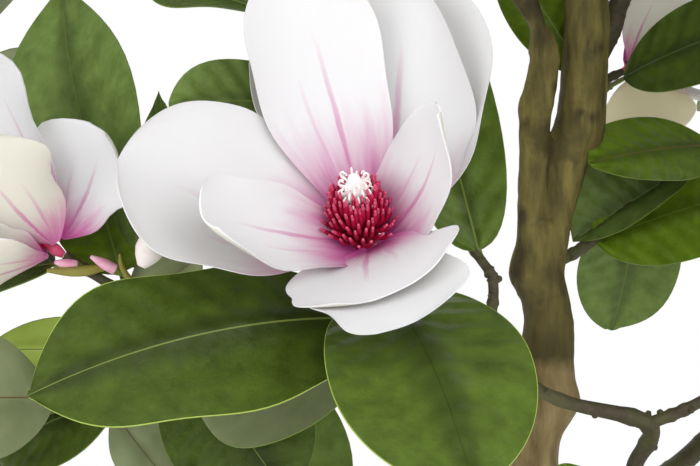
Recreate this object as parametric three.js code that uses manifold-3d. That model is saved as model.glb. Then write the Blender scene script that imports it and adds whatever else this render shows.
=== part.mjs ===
// An artificial magnolia tree, 1.8 m tall: a slim trunk that forks into two stems, boughs, sprays of large
// leaves on wired twigs, and open white blooms pushed onto twig ends. Millimetres, +Z up, origin at the middle
// of the trunk's flat foot. The front of the tree faces -Y.
import * as THREE from "three";
import { mergeVertices } from "three/addons/utils/BufferGeometryUtils.js";
import Module from "manifold-3d";

const wasm = await Module();
wasm.setup();

// ---------------------------------------------------------------- driving dimensions
const CLEAR = 0.3; // running gap between neighbouring solids
const GOLDEN = 2.39996; // turn from one leaf or twig to the next, radians

const FORK_CUT = 985; // height at which the trunk ends and its two stems carry on
const LEAF_LENGTH = [126, 172]; // shortest and longest leaf of the crown
const LEAF_WIDTH = 0.5; // share of its length
const LEAF_OUTLINE = [0.12, 0.72, 0.6]; // share that is bare stalk, then fullness towards foot and tip
const BLADE_THICK = 2.8; // leaves and petals along their middle
const ROOT = 1.2; // how far a blade's foot is sunk past the middle of its twig
const STALK = 1.5; // half the width of a leaf's foot
const TWIGS = 6; // twigs on the stem of each mass
const LEAVES = 5; // leaves on each twig
const BOUGH_TIP = 5;
const MASS_STEM = [3.6, 3.2, 2.6];
const TWIG = [3, 2.7, 2.3];
const LEAF_TO_LIMB = 9; // room between the face of a limb and a leaf's sampled points
const LEAF_TO_CELL = 4; // room between a leaf's sampled points and the space of the next mass
const PETAL_OUTLINE = [0.04, 0.72, 0.4];
const BLOOM_RADIUS = 102; // room kept around each open bloom
const BLOOM_HEIGHT = 125;
const CORE = { length: 36, radii: [4, 9, 15, 9] }; // foot of the bloom, stamens and pistil

// ---------------------------------------------------------------- vectors
const add = (a, b, k = 1) => [a[0] + b[0] * k, a[1] + b[1] * k, a[2] + b[2] * k];
const sub = (a, b) => add(a, b, -1);
const scaled = (a, k) => [a[0] * k, a[1] * k, a[2] * k];
const dot = (a, b) => a[0] * b[0] + a[1] * b[1] + a[2] * b[2];
const cross = (a, b) => [
  a[1] * b[2] - a[2] * b[1],
  a[2] * b[0] - a[0] * b[2],
  a[0] * b[1] - a[1] * b[0],
];
const size = (a) => Math.sqrt(dot(a, a));
const unit = (a) => scaled(a, 1 / size(a));
const mix = (a, b, t) => add(scaled(a, 1 - t), b, t);
const UP = [0, 0, 1];

// Two unit vectors square to a direction and to each other.
function squareTo(direction) {
  const helper = Math.abs(direction[2]) < 0.9 ? UP : [1, 0, 0];
  const first = unit(cross(helper, direction));
  return [first, cross(direction, first)];
}

// The point at t, from 0 to 1, of a smooth curve through the points.
function curvePoint(points, t) {
  const last = points.length - 1;
  const place = Math.min(Math.max(t, 0), 1) * last;
  const i = Math.min(Math.floor(place), last - 1);
  const w = place - i;
  const p1 = points[i];
  const p2 = points[i + 1];
  const p0 = i > 0 ? points[i - 1] : sub(scaled(p1, 2), p2);
  const p3 = i < last - 1 ? points[i + 2] : sub(scaled(p2, 2), p1);
  const out = [0, 0, 0];
  for (let k = 0; k < 3; k++) {
    const m1 = (p2[k] - p0[k]) / 2;
    const m2 = (p3[k] - p1[k]) / 2;
    const c2 = -3 * p1[k] + 3 * p2[k] - 2 * m1 - m2;
    const c3 = 2 * p1[k] - 2 * p2[k] + m1 + m2;
    out[k] = p1[k] + m1 * w + c2 * w * w + c3 * w * w * w;
  }
  return out;
}

// The value at t, from 0 to 1, of a list that is read evenly and straight between its entries.
function listValue(list, t) {
  const place = Math.min(Math.max(t, 0), 1) * (list.length - 1);
  const i = Math.min(Math.floor(place), list.length - 2);
  return list[i] + (list[i + 1] - list[i]) * (place - i);
}

// The same run of numbers from 0 to 1 each time for the same seed.
function dice(seed) {
  let state = seed;
  return () => {
    state = (Math.imul(state, 1664525) + 1013904223) >>> 0;
    return state / 4294967296;
  };
}

// ---------------------------------------------------------------- solids
function solidOf(positions, faces) {
  const rough = new THREE.BufferGeometry();
  rough.setAttribute("position", new THREE.Float32BufferAttribute(positions.flat(), 3));
  rough.setIndex(faces.flat());
  return solidFrom(rough);
}

function solidFrom(geometry) {
  geometry.deleteAttribute("normal");
  geometry.deleteAttribute("uv");
  const merged = mergeVertices(geometry, 1e-4);
  return new wasm.Manifold(
    new wasm.Mesh({
      numProp: 3,
      vertProperties: new Float32Array(merged.attributes.position.array),
      triVerts: new Uint32Array(merged.index.array),
    }),
  );
}

function geometryFrom(solid) {
  const { numProp, numVert, vertProperties, triVerts } = solid.getMesh();
  const positions = new Float32Array(numVert * 3);
  for (let i = 0; i < numVert; i++)
    positions.set(vertProperties.subarray(i * numProp, i * numProp + 3), i * 3);
  const geometry = new THREE.BufferGeometry();
  geometry.setAttribute("position", new THREE.BufferAttribute(positions, 3));
  geometry.setIndex(new THREE.BufferAttribute(new Uint32Array(triVerts), 1));
  geometry.computeVertexNormals();
  return geometry;
}

// Joins solids and keeps the largest piece, so that no loose scrap stays.
function joined(solids) {
  let whole = solids[0];
  for (const solid of solids.slice(1)) whole = whole.add(solid);
  const pieces = whole.decompose();
  return pieces.sort((a, b) => b.volume() - a.volume())[0].simplify(0.15);
}

// A tapering round limb along a smooth curve, with flat ends. Knots are swellings on one side of it.
function limbSolid({ points, radii, knots = [] }, sides, rings, grow = 0) {
  const positions = [];
  const faces = [];
  let across = null;
  for (let i = 0; i <= rings; i++) {
    const t = i / rings;
    const centre = curvePoint(points, t);
    const ahead = unit(sub(curvePoint(points, t + 0.01), curvePoint(points, t - 0.01)));
    across = across ? unit(sub(across, scaled(ahead, dot(across, ahead)))) : squareTo(ahead)[0];
    const other = cross(ahead, across);
    const end = i === 0 ? -grow : i === rings ? grow : 0;
    const middle = add(centre, ahead, end);
    for (let j = 0; j < sides; j++) {
      const angle = (2 * Math.PI * j) / sides;
      const out = add(scaled(across, Math.cos(angle)), other, Math.sin(angle));
      positions.push(add(middle, out, listValue(radii, t) + grow + swelling(knots, middle, out)));
    }
  }
  for (let i = 0; i < rings; i++)
    for (let j = 0; j < sides; j++) {
      const a = i * sides + j;
      const b = i * sides + ((j + 1) % sides);
      faces.push([a, b, b + sides], [a, b + sides, a + sides]);
    }
  for (let j = 1; j < sides - 1; j++) {
    const top = rings * sides;
    faces.push([0, j + 1, j], [top, top + j, top + j + 1]);
  }
  return solidOf(positions, faces);
}

// How far knots push the bark out at a ring's middle in one direction: each knot is a height, a heading in
// degrees seen from above, a height of swelling and a spread along the limb.
function swelling(knots, middle, out) {
  let total = 0;
  for (const [height, heading, push, spread] of knots) {
    const along = (middle[2] - height) / spread;
    const turn = Math.atan2(out[1], out[0]) - (heading * Math.PI) / 180;
    total += push * Math.exp(-along * along) * Math.exp(2.5 * (Math.cos(turn) - 1));
  }
  return total;
}

// ---------------------------------------------------------------- blades: leaves and petals
// A blade runs from foot to tip on an arc that turns by bend towards its back. Its upper side looks to face.
// cup rolls its sides up on an arc, fold lifts them straight up from the midrib, and twist turns its tip.
function bladePoint(blade, t, s) {
  const chord = sub(blade.tip, blade.foot);
  const ahead = unit(chord);
  const face = unit(sub(blade.face, scaled(ahead, dot(blade.face, ahead))));
  const side = cross(face, ahead);
  const bend = Math.abs(blade.bend) < 1e-3 ? 1e-3 : blade.bend;
  const arc = (size(chord) * bend) / 2 / Math.sin(bend / 2);
  const heading = bend / 2 - bend * t;
  const forward = (arc / bend) * (Math.sin(bend / 2) - Math.sin(heading));
  const lift = (arc / bend) * (Math.cos(heading) - Math.cos(bend / 2));
  const centre = add(add(blade.foot, ahead, forward), face, lift);
  const normal = add(scaled(ahead, -Math.sin(heading)), face, Math.cos(heading));
  const turn = (blade.twist || 0) * t;
  const across = add(scaled(side, Math.cos(turn)), normal, Math.sin(turn));
  const above = add(scaled(normal, Math.cos(turn)), side, -Math.sin(turn));
  const [stalk, a, b] = blade.outline;
  const reach = Math.max((t - stalk) / (1 - stalk), 0);
  const widest = a / (a + b);
  const profile = (reach / widest) ** a * ((1 - reach) / (1 - widest)) ** b;
  const half = Math.max((blade.width / 2) * profile, t < 0.5 ? STALK : 0);
  const cup = Math.max(blade.cup || 0, 1e-3);
  const rise = (half * (1 - Math.cos(cup * s))) / cup + (blade.fold || 0) * half * Math.abs(s);
  const point = add(add(centre, across, (half * Math.sin(cup * s)) / cup), above, rise);
  return { point, above };
}

// A thin closed solid through the blade's stations, sharp along its rim, with a point at the tip. Its foot is
// a point sunk past the middle of what carries it, or a small face where a station stands at the foot.
function bladeSolid(blade, stations, columns) {
  const positions = [blade.tip];
  const faces = [];
  const around = 2 * (columns.length - 1);
  for (const t of stations) {
    const ring = columns.map((s) => ({ half: (BLADE_THICK / 2) * (1 - s * s), ...bladePoint(blade, t, s) }));
    for (const { half, point, above } of ring) positions.push(add(point, above, half));
    for (const { half, point, above } of ring.slice(1, -1).reverse())
      positions.push(add(point, above, -half));
  }
  const at = (i, j) => 1 + i * around + (j % around);
  const last = stations.length - 1;
  for (let j = 0; j < around; j++) {
    faces.push([0, at(last, j + 1), at(last, j)]);
    for (let i = 0; i < last; i++) {
      faces.push([at(i, j), at(i + 1, j), at(i + 1, j + 1)]);
      faces.push([at(i, j), at(i + 1, j + 1), at(i, j + 1)]);
    }
  }
  if (stations[0] > 0) {
    const foot = positions.push(add(blade.foot, unit(sub(blade.tip, blade.foot)), -ROOT)) - 1;
    for (let j = 0; j < around; j++) faces.push([foot, at(0, j), at(0, j + 1)]);
  } else for (let j = 1; j < around - 1; j++) faces.push([at(0, 0), at(0, j), at(0, j + 1)]);
  return facing(positions, faces);
}

// The solid of these faces, turned inside out if they look inwards.
function facing(positions, faces) {
  const solid = solidOf(positions, faces);
  return solid.volume() < 0 ? solidOf(positions, faces.map(([a, b, c]) => [a, c, b])) : solid;
}

// A leaf of the crown is plainer: its foot, its tip, its two widest rim points and its midrib underneath.
function leafSolid(leaf) {
  const [left, right] = [-1, 1].map((s) => bladePoint(leaf, 0.58, s).point);
  const { point, above } = bladePoint(leaf, 0.58, 0);
  const root = add(leaf.foot, unit(sub(leaf.tip, leaf.foot)), -ROOT);
  const positions = [root, leaf.tip, left, right, add(point, above, -BLADE_THICK / 2)];
  return facing(positions, [[0, 2, 4], [0, 4, 3], [0, 3, 2], [1, 4, 2], [1, 3, 4], [1, 2, 3]]);
}

const largeLeafSolid = (leaf) => bladeSolid(leaf, [0.34, 0.72], [-1, 0, 1]);

// ---------------------------------------------------------------- trunk and stems
const TRUNK = {
  points: [
    [0, 0, 0], [0, 0, 60], [5, 3, 180], [-3, 4, 330], [-6, -2, 480], [2, -4, 620],
    [0, 0, 720], [-8, 0, 797], [-1, 0, 836], [5, 0, 868], [3, 0, 892], [-3, 0, 920], [-1, 0, 945],
  ],
  radii: [40, 31, 27, 25, 24, 22.5, 21, 18.5, 17, 14, 13.5, 14, 12],
  knots: [
    [840, 0, 7, 13], [868, 180, 4, 14], [914, 180, 4, 9], [949, 200, 4, 9], [690, 250, 6, 22],
    [560, 30, 5, 25], [410, 150, 6, 28], [250, 320, 5, 30], [20, 70, 12, 40], [20, 190, 10, 40],
    [20, 300, 13, 40],
  ],
};

const STEMS = {
  left_stem: {
    points: [
      [-6, -1, 900], [-7, -3, 940], [-6, -5, 975], [-6, -6, 1005], [-2, -6, 1030], [-2, -7, 1052],
      [-17, -9, 1085], [-44, -14, 1135], [-76, -20, 1195], [-100, -24, 1255],
    ],
    radii: [9, 9, 9, 8.5, 8.5, 7.5, 7.5, 7, 6, 5],
    knots: [[1012, 180, 2.5, 8]],
  },
  right_stem: {
    points: [
      [3, 2, 900], [6, 3, 940], [14, 4, 975], [23, 5, 1004], [25, 6, 1035], [26, 6, 1070],
      [22, 4, 1130], [12, 0, 1210], [14, 4, 1300], [4, 2, 1400], [6, 0, 1490],
    ],
    radii: [12, 12, 12, 14, 14, 13.5, 12.5, 11, 9.5, 7.5, 5],
    knots: [[998, 20, 3, 9], [1052, 200, 2.5, 9]],
  },
};

// The point of a limb's centre line at a height.
function axisAt(limb, height) {
  let best = limb.points[0];
  for (let i = 0; i <= 200; i++) {
    const point = curvePoint(limb.points, i / 200);
    if (Math.abs(point[2] - height) < Math.abs(best[2] - height)) best = point;
  }
  return best;
}

// ---------------------------------------------------------------- the front mass, set out leaf by leaf
// Its twigs by name. Each leaf: the twig and the share of the way along it at which it grows, its tip, its
// width, the way its upper side looks, and how it bends and folds.
const FRONT_TWIGS = {
  main: { radii: [5, 5, 5.2, 4, 3, 2.5, 2.5, 2.8], points: [
    [28, -205.1, 815.8], [28.8, -212.4, 834.4], [32.8, -230, 858], [-11.5, -236, 871], [-50, -245, 892],
    [-90.8, -255, 912.7], [-102.9, -251.4, 936.3], [-104.5, -262, 947.9]] },
  east: { radii: [3.6, 3, 2.4], points: [[32.8, -230, 858], [59.3, -225, 868.4], [98, -222, 893]] },
  rear: { radii: [2.6, 2.6, 2.4, 2.2, 2], points: [
    [-50, -245, 892], [-45, -243, 927.5], [-53.5, -238, 944.3], [-96, -200, 1003], [-161.6, -192, 1069]] },
  west: { radii: [2.6, 2.4, 2.4, 2.6], points: [
    [-90.8, -255, 912.7], [-125, -218, 881], [-183.3, -205, 894.5], [-245.9, -206.4, 931.4],
    [-258.8, -208, 940.2]] },
  low: { radii: [2.2, 2, 1.8], points: [[-183.3, -205, 894.5], [-222, -188, 868], [-262, -182, 864]] },
};
const FRONT_LEAVES = [
  ["main", 0.83, [-264.5, -300, 879.3], 74, [0.12, -0.7, 0.7], 0.35, 0.1],
  ["main", 0.83, [-70.6, -395, 849.3], 88, [0.1, -0.45, 0.9], 0.5, 0.14],
  ["rear", 0.47, [-76, -212, 1102], 58, [0.5, -0.8, 0.1], 0.25, 0.2],
  ["rear", 0.78, [-205.7, -225, 1022.4], 46, [-0.1, -0.8, 0.6], 0.5, 0.1],
  ["rear", 0.97, [-233, -170, 1100], 55, [0.3, -0.4, 0.9], 0.3, 0.1],
  ["rear", 0.97, [-112, -95, 1118], 60, [0.1, -0.4, 0.9], 0.4, 0.1],
  ["main", 0.8, [-195.5, -215, 845], 76, [-0.3, 0.5, -0.7], 0.3, 0.1],
  ["west", 0.5, [-161.5, -215, 783.9], 70, [-0.1, -0.9, 0.3], 0.3, 0.1],
  ["west", 0.55, [-136, -160, 789], 66, [0.4, -0.8, 0.2], 0.3, 0.1],
  ["west", 0.6, [-262, -100, 1094], 70, [-0.25, -0.9, 0.2], 0.3, 0.15],
  ["west", 0.6, [-209, -136, 1040], 46, [0.1, -0.9, 0.2], 0.3, 0.1],
  ["west", 0.6, [-345, -118, 925], 58, [-0.3, -0.3, 0.9], 0.4, 0.1],
  ["west", 0.55, [-292, -66, 985], 60, [-0.2, -0.3, 0.9], 0.4, 0.1],
  ["low", 0.9, [-333.9, -160, 915], 58, [-0.2, -0.5, 0.8], 0.4, 0.1],
  ["low", 0.97, [-336, -240, 872], 66, [0.5, -0.75, 0.3], 0.3, 0.1],
  ["low", 0.8, [-296.2, -150, 808], 62, [0.2, -0.9, 0.3], 0.3, 0.1],
  ["low", 0.6, [-225.4, -140, 778.3], 62, [-0.2, 0.9, -0.3], 0.3, 0.1],
  ["low", 0.97, [-345, -115, 880], 58, [-0.2, -0.5, 0.8], 0.4, 0.1],
  ["east", 0.97, [185, -260, 950], 62, [-0.2, -0.6, 0.8], 0.4, 0.1],
  ["east", 0.97, [150, -175, 975], 58, [-0.4, -0.3, 0.8], 0.4, 0.1],
  ["east", 0.75, [150, -300, 868], 62, [-0.1, -0.5, 0.9], 0.4, 0.1],
  ["east", 0.8, [165, -160, 860], 60, [-0.1, -0.3, 0.9], 0.5, 0.1],
  ["main", 0.1, [60, -330, 790], 60, [0.2, -0.3, 0.8], 0.4, 0.1],
  ["main", 0.12, [85, -130, 790], 58, [0.2, 0.3, 0.8], 0.4, 0.1],
];
const BUDS = [{ twig: "west", along: 0.66, tip: [-245, -234, 937] }];

// The twigs and leaves that grow straight from the trunk and from the right stem, in the same manner.
const TRUNK_TWIGS = {
  side: { radii: [4, 3.4, 3, 2.6, 2.2], points: [
    [0, 0, 916], [27, 16, 928], [61.6, 30, 955], [119, 42, 988], [168, 50, 1000]] },
};
const TRUNK_LEAVES = [
  ["side", 0.97, [32.5, -12, 984], 64, [0.1, -0.6, 0.8], 0.35, 0.1],
  ["side", 0.25, [138, -8, 1010], 60, [-0.35, -0.1, 0.95], 0.3, 0.35],
  ["side", 0.28, [152, 50, 950], 70, [-0.1, -0.85, 0.5], 0.3, 0.1],
  ["side", 0.25, [46, -42, 880], 66, [0.2, -0.75, 0.6], 0.4, 0.1],
  ["side", 0.97, [262, 78, 960], 62, [-0.1, -0.5, 0.8], 0.5, 0.1],
  ["side", 0.85, [185, 148, 1012], 60, [-0.1, -0.1, 0.95], 0.5, 0.1],
  ["side", 0.6, [128, 160, 950], 56, [0, -0.4, 0.9], 0.4, 0.1],
  ["side", 0.97, [222, -20, 1050], 56, [-0.5, -0.3, 0.8], 0.4, 0.1],
];
const STEM_TWIGS = {
  side: { radii: [3, 2.6, 2.4], points: [[24, 6, 1018], [40, 30, 1023], [41.4, 51.9, 1027.2], [53.6, 60, 1032.9]] },
};
const STEM_LEAVES = [
  ["side", 0.3, [142, -30, 1066], 66, [-0.2, -0.8, 0.6], 0.4, 0.1],
  ["side", 0.5, [-6, 60, 1090], 58, [0.2, -0.8, 0.3], 0.3, 0.1],
];

// ---------------------------------------------------------------- blooms
// The whorls of an open bloom: number of petals, their opening from its axis, length, width, bend and cup.
const WHORLS = [
  { count: 3, open: 1.15, length: 94, width: 66, bend: -0.5, cup: 0.4 },
  { count: 3, open: 0.68, length: 88, width: 52, bend: -0.8, cup: 0.6 },
];

// The petals of three blooms that are set out by hand: tip, width, the way the inner side looks, bend and cup.
const HAND_PETALS = {
  front: [
    [[-137.2, -272, 1077], 73, [0.1, -0.95, 0.2], -0.45, 0.5],
    [[-81.5, -258, 1081], 62, [-0.35, -0.9, 0.1], -0.4, 0.5],
    [[-55.4, -262, 1056], 62, [-0.7, -0.7, 0.1], -0.5, 0.7],
    [[-68, -322, 1010], 58, [-0.85, -0.2, 0.5], -0.6, 0.6],
    [[-221, -300, 989], 82, [0.35, -0.75, 0.55], -0.5, 0.5],
    [[-180, -342, 968], 66, [0.3, -0.5, 0.8], -0.5, 0.5],
    [[-118, -368, 934], 70, [0.05, -0.1, 1], 0.35, 0.35],
    [[-86, -356, 917], 74, [0, -0.3, 1], 0.3, 0.3],
    [[-150, -222, 1062], 60, [0.3, -0.9, 0.2], -0.4, 0.5],
  ],
  left: [
    [[-250, -178, 1013.6], 60, [-0.7, -0.6, 0.3], -0.5, 0.4],
    [[-285, -252, 991.4], 62, [-0.5, 0.4, 0.8], -0.5, 0.5],
    [[-306, -190, 1043.6], 58, [-0.6, -0.7, 0.1], -0.5, 0.5],
    [[-318, -262, 932.3], 60, [-0.1, 0.1, 1], -0.4, 0.4],
    [[-340, -120, 1003], 60, [-0.2, -0.8, 0.5], -0.5, 0.4],
    [[-352, -180, 966], 58, [-0.3, -0.2, 0.9], -0.5, 0.4],
  ],
  right: [
    [[107, 70, 1001.9], 60, [-0.2, -0.3, 0.95], -0.4, 0.4],
    [[110, 118, 1100.6], 60, [0.6, -0.7, -0.2], -0.5, 0.4],
    [[150, 150, 1050], 60, [-0.4, -0.3, 0.9], -0.5, 0.4],
    [[136, 58, 1045], 56, [-0.5, 0.7, 0.4], -0.4, 0.4],
    [[60, 160, 1080], 56, [0.8, -0.5, 0.1], -0.5, 0.4],
    [[72, 165, 1000], 56, [0.5, -0.2, 0.8], -0.5, 0.4],
  ],
};

function petalsOf({ foot, axis, turn = 0, petals }) {
  const [first, second] = squareTo(axis);
  const standing = (angle) => add(scaled(first, Math.cos(angle)), second, Math.sin(angle));
  if (petals)
    return petals.map(([tip, width, face, bend, cup]) => {
      const out = sub(tip, add(foot, axis, 60));
      const away = unit(sub(out, scaled(axis, dot(out, axis))));
      return { foot: add(add(foot, axis, 9), away, 5), tip, width, face, bend, cup };
    });
  const out = [];
  for (const [w, whorl] of WHORLS.entries())
    for (let k = 0; k < whorl.count; k++) {
      const away = standing(turn + w * 1.05 + (k * 2 * Math.PI) / whorl.count);
      const start = add(add(foot, axis, 8 + 2 * w), away, 5);
      const ahead = add(scaled(axis, Math.cos(whorl.open)), away, Math.sin(whorl.open));
      const face = add(scaled(axis, Math.sin(whorl.open)), away, -Math.cos(whorl.open));
      out.push({ ...whorl, foot: start, tip: add(start, ahead, whorl.length), face });
    }
  return out;
}

function bloomSolid(bloom, stations, columns) {
  const core = limbSolid(
    { points: [bloom.foot, add(bloom.foot, bloom.axis, CORE.length)], radii: CORE.radii },
    5,
    CORE.radii.length - 1,
  );
  const petals = petalsOf(bloom).map((petal) =>
    bladeSolid({ outline: PETAL_OUTLINE, ...petal }, stations, columns),
  );
  return joined([core, ...petals]);
}

// ---------------------------------------------------------------- the other masses, grown by rule
// Each mass: the limb that carries it and the height at which its bough leaves it, how much of its height the
// bough gains early, the mass's middle, its room, the height that its leaves stay above, and its seed.
const MASSES = [
  { name: "low_left", limb: "trunk", fork: 650, rise: 0.08, middle: [-452, -110, 985], room: 165, floor: 840, seed: 11 },
  { name: "low_front", limb: "trunk", fork: 690, rise: 0.08, middle: [268, -215, 1000], room: 165, floor: 850, seed: 25 },
  { name: "low_right", limb: "trunk", fork: 660, middle: [355, 90, 1020], room: 165, floor: 870, seed: 33 },
  { name: "low_back_left", limb: "trunk", fork: 600, rise: -0.05, middle: [-460, 170, 1060], room: 150, floor: 900, seed: 44, bud: true },
  { name: "low_back", limb: "trunk", fork: 760, middle: [290, 300, 1080], room: 160, floor: 920, seed: 58 },
  { name: "mid_front", limb: "left_stem", fork: 1095, middle: [-105, -320, 1290], room: 170, floor: 1085, seed: 41 },
  { name: "mid_left", limb: "left_stem", fork: 1150, middle: [-345, -70, 1290], room: 175, floor: 1085, seed: 52 },
  { name: "mid_back_left", limb: "right_stem", fork: 1130, middle: [-240, 235, 1300], room: 175, floor: 1100, seed: 63 },
  { name: "mid_back", limb: "right_stem", fork: 1100, middle: [60, 320, 1310], room: 170, floor: 1100, seed: 74 },
  { name: "mid_right", limb: "right_stem", fork: 1030, via: [[41, 14, 1058], [50, 24, 1080], [82, 34, 1130]],
    middle: [325, 20, 1315], room: 175, floor: 1100, seed: 85, bud: true },
  { name: "mid_front_right", limb: "right_stem", fork: 1170, middle: [190, -245, 1300], room: 170, floor: 1085, seed: 96 },
  { name: "high_front", limb: "right_stem", fork: 1330, middle: [-40, -190, 1545], room: 165, floor: 1300, seed: 107 },
  { name: "high_left", limb: "left_stem", fork: 1235, middle: [-215, 20, 1530], room: 165, floor: 1300, seed: 118, bud: true },
  { name: "high_back", limb: "right_stem", fork: 1370, middle: [0, 205, 1550], room: 165, floor: 1300, seed: 129 },
  { name: "high_right", limb: "right_stem", fork: 1290, middle: [200, 0, 1560], room: 165, floor: 1300, seed: 140, bud: true },
  { name: "top", limb: "right_stem", fork: 0, middle: [0, 8, 1690], room: 150, floor: 1500, seed: 151 },
];
const CROWN_AXIS = [-20, 0, 1150]; // masses lean out from here

// The spaces held by the masses that are set out by hand, by a few middles each.
const CLAIMS = [
  { name: "front", middle: [-110, -285, 960] },
  { name: "front", middle: [-260, -180, 950] },
  { name: "front", middle: [-150, -190, 860] },
  { name: "front", middle: [60, -235, 870] },
  { name: "trunk_right", middle: [110, 40, 975] },
  { name: "stem_right", middle: [60, 40, 1055] },
  ...MASSES,
];

// ---------------------------------------------------------------- limbs
const headingAt = ({ points }, t) =>
  unit(sub(curvePoint(points, t + 0.01), curvePoint(points, t - 0.01)));

// A bough leaves its parent outwards, then turns up into its mass from below.
function boughOf(mass) {
  const start = axisAt(LIMBS[mass.limb], mass.fork);
  const back = unit(sub(start, mass.middle));
  const mouth = add(add(mass.middle, back, 0.4 * mass.room), UP, -0.3 * mass.room);
  const gained = "rise" in mass ? mass.rise : 0.2;
  const way = sub(mouth, start);
  const at = (share, height) => add(start, [way[0] * share, way[1] * share, way[2] * height]);
  const thick = mass.limb === "trunk" ? 9 : 7.5;
  const between = mass.via || [at(0.4, gained), at(0.76, gained + 0.38)];
  return {
    points: [start, ...between, mouth],
    radii: [thick, (thick + BOUGH_TIP) / 2, BOUGH_TIP + 0.6, BOUGH_TIP - 1],
  };
}

// A mass's stem goes on from its bough and leans outwards and up to its bloom.
function stemOf(mass) {
  const carrier = LIMBS[mass.bough];
  const ahead = headingAt(carrier, 1);
  const start = add(carrier.points[carrier.points.length - 1], ahead, CLEAR);
  const out = unit(sub(mass.middle, CROWN_AXIS));
  const lean = unit(add(out, UP, 0.45));
  const end = add(mass.middle, lean, (mass.bud ? 0.3 : 0.42) * mass.room);
  return { points: [start, add(start, ahead, 22), add(end, lean, -30), end], radii: MASS_STEM };
}

const LIMBS = { trunk: TRUNK, ...STEMS };
LIMBS.bough_front = {
  points: [[0, -2, 640], [12, -70, 690], [22, -150, 745], [27, -195, 790], [28, -205, 815.5]],
  radii: [9, 7.5, 6.5, 5.6, 5.4],
};
for (const mass of MASSES) {
  mass.bough = mass.fork ? `bough_${mass.name}` : mass.limb;
  if (mass.fork) LIMBS[mass.bough] = boughOf(mass);
  mass.stem = stemOf(mass);
}

// ---------------------------------------------------------------- room for twigs and leaves
const LIMB_POINTS = Object.values(LIMBS).flatMap((limb) => {
  const count = Math.ceil(size(sub(limb.points[0], limb.points[limb.points.length - 1])) / 9);
  const steps = Array.from({ length: count + 1 }, (_, i) => i / count);
  return steps.map((t) => ({ point: curvePoint(limb.points, t), radius: listValue(limb.radii, t) }));
});

const bloomOn = (limb) => ({
  foot: add(limb.points[limb.points.length - 1], headingAt(limb, 1), CLEAR),
  axis: headingAt(limb, 1),
});
const BLOOMS = [
  { name: "bloom_front", ...bloomOn(FRONT_TWIGS.main), petals: HAND_PETALS.front },
  { name: "bloom_left", ...bloomOn(FRONT_TWIGS.west), petals: HAND_PETALS.left },
  { name: "bloom_right", ...bloomOn(STEM_TWIGS.side), petals: HAND_PETALS.right },
  ...MASSES.filter((mass) => !mass.bud).map((mass) => ({
    name: `bloom_${mass.name}`, ...bloomOn(mass.stem), turn: mass.seed,
  })),
];

function inBloom(point) {
  return BLOOMS.some(({ foot, axis }) => {
    const away = sub(point, foot);
    const height = dot(away, axis);
    const radius = size(sub(away, scaled(axis, height)));
    return radius < BLOOM_RADIUS && height < BLOOM_HEIGHT && height > 0.3 * radius - 4;
  });
}

function free(point, mass) {
  if (point[2] < mass.floor) return false;
  const own = size(sub(point, mass.middle));
  const { name } = mass;
  if (CLAIMS.some((c) => c.name !== name && size(sub(point, c.middle)) < own + LEAF_TO_CELL)) return false;
  if (LIMB_POINTS.some((q) => size(sub(point, q.point)) < q.radius + LEAF_TO_LIMB)) return false;
  return !inBloom(point);
}

const LEAF_SAMPLES = [0.3, 0.5, 0.7, 0.88].flatMap((t) => [-1, 0, 1].map((s) => [t, s]));
const samplesOf = (leaf) => [leaf.tip, ...LEAF_SAMPLES.map(([t, s]) => bladePoint(leaf, t, s).point)];

// ---------------------------------------------------------------- the rule of a mass
// Twigs leave the stem one golden turn after another. Leaves stand round each twig the same way, closer to
// its heading towards its end. A leaf that finds no room is turned, then shortened, then left out.
const SHAPES = [1, 0.88, 0.76].flatMap((length) => [0, 0.7, -0.7].map((turn) => ({ length, turn })));

function growMass(mass, placed) {
  const roll = dice(mass.seed);
  const twigs = [];
  const leaves = [];
  for (let k = 0; k < TWIGS; k++) {
    const along = 0.25 + (0.5 * k) / (TWIGS - 1);
    const turn = mass.seed + k * GOLDEN + 0.6 * roll();
    const reach = mass.room * (0.42 + 0.24 * roll());
    const twig = twigWithRoom(mass, along, turn, reach);
    if (twig) twigs.push(twig);
    for (let j = 0; j < LEAVES; j++) {
      const around = j * GOLDEN + mass.seed + k + 0.7 * roll();
      const long = LEAF_LENGTH[0] + (LEAF_LENGTH[1] - LEAF_LENGTH[0]) * roll();
      const bend = 0.3 + 0.5 * roll();
      const open = 1.15 - 0.17 * j + 0.25 * roll();
      if (!twig) continue;
      const place = 0.3 + (0.7 * j) / (LEAVES - 1);
      const leaf = leafWithRoom(twig, place, { around, long, bend, open }, mass, placed);
      if (!leaf) continue;
      leaves.push(leaf);
      placed.push(...samplesOf(leaf));
    }
  }
  return { twigs, leaves };
}

function twigWithRoom(mass, along, turn, reach) {
  const start = curvePoint(mass.stem.points, along);
  const ahead = headingAt(mass.stem, along);
  const [first, second] = squareTo(ahead);
  for (const shape of SHAPES) {
    const angle = turn + shape.turn;
    const out = add(scaled(first, Math.cos(angle)), second, Math.sin(angle));
    const heading = unit(add(add(scaled(ahead, 0.3), out, 0.95), UP, 0.1));
    const length = reach * shape.length;
    const middle = add(start, heading, 0.55 * length);
    const end = add(add(middle, heading, 0.45 * length), UP, 0.12 * length);
    const points = [start, middle, end];
    if ([0.5, 0.75, 1].every((t) => free(curvePoint(points, t), mass))) return { points, radii: TWIG };
  }
  return null;
}

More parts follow.
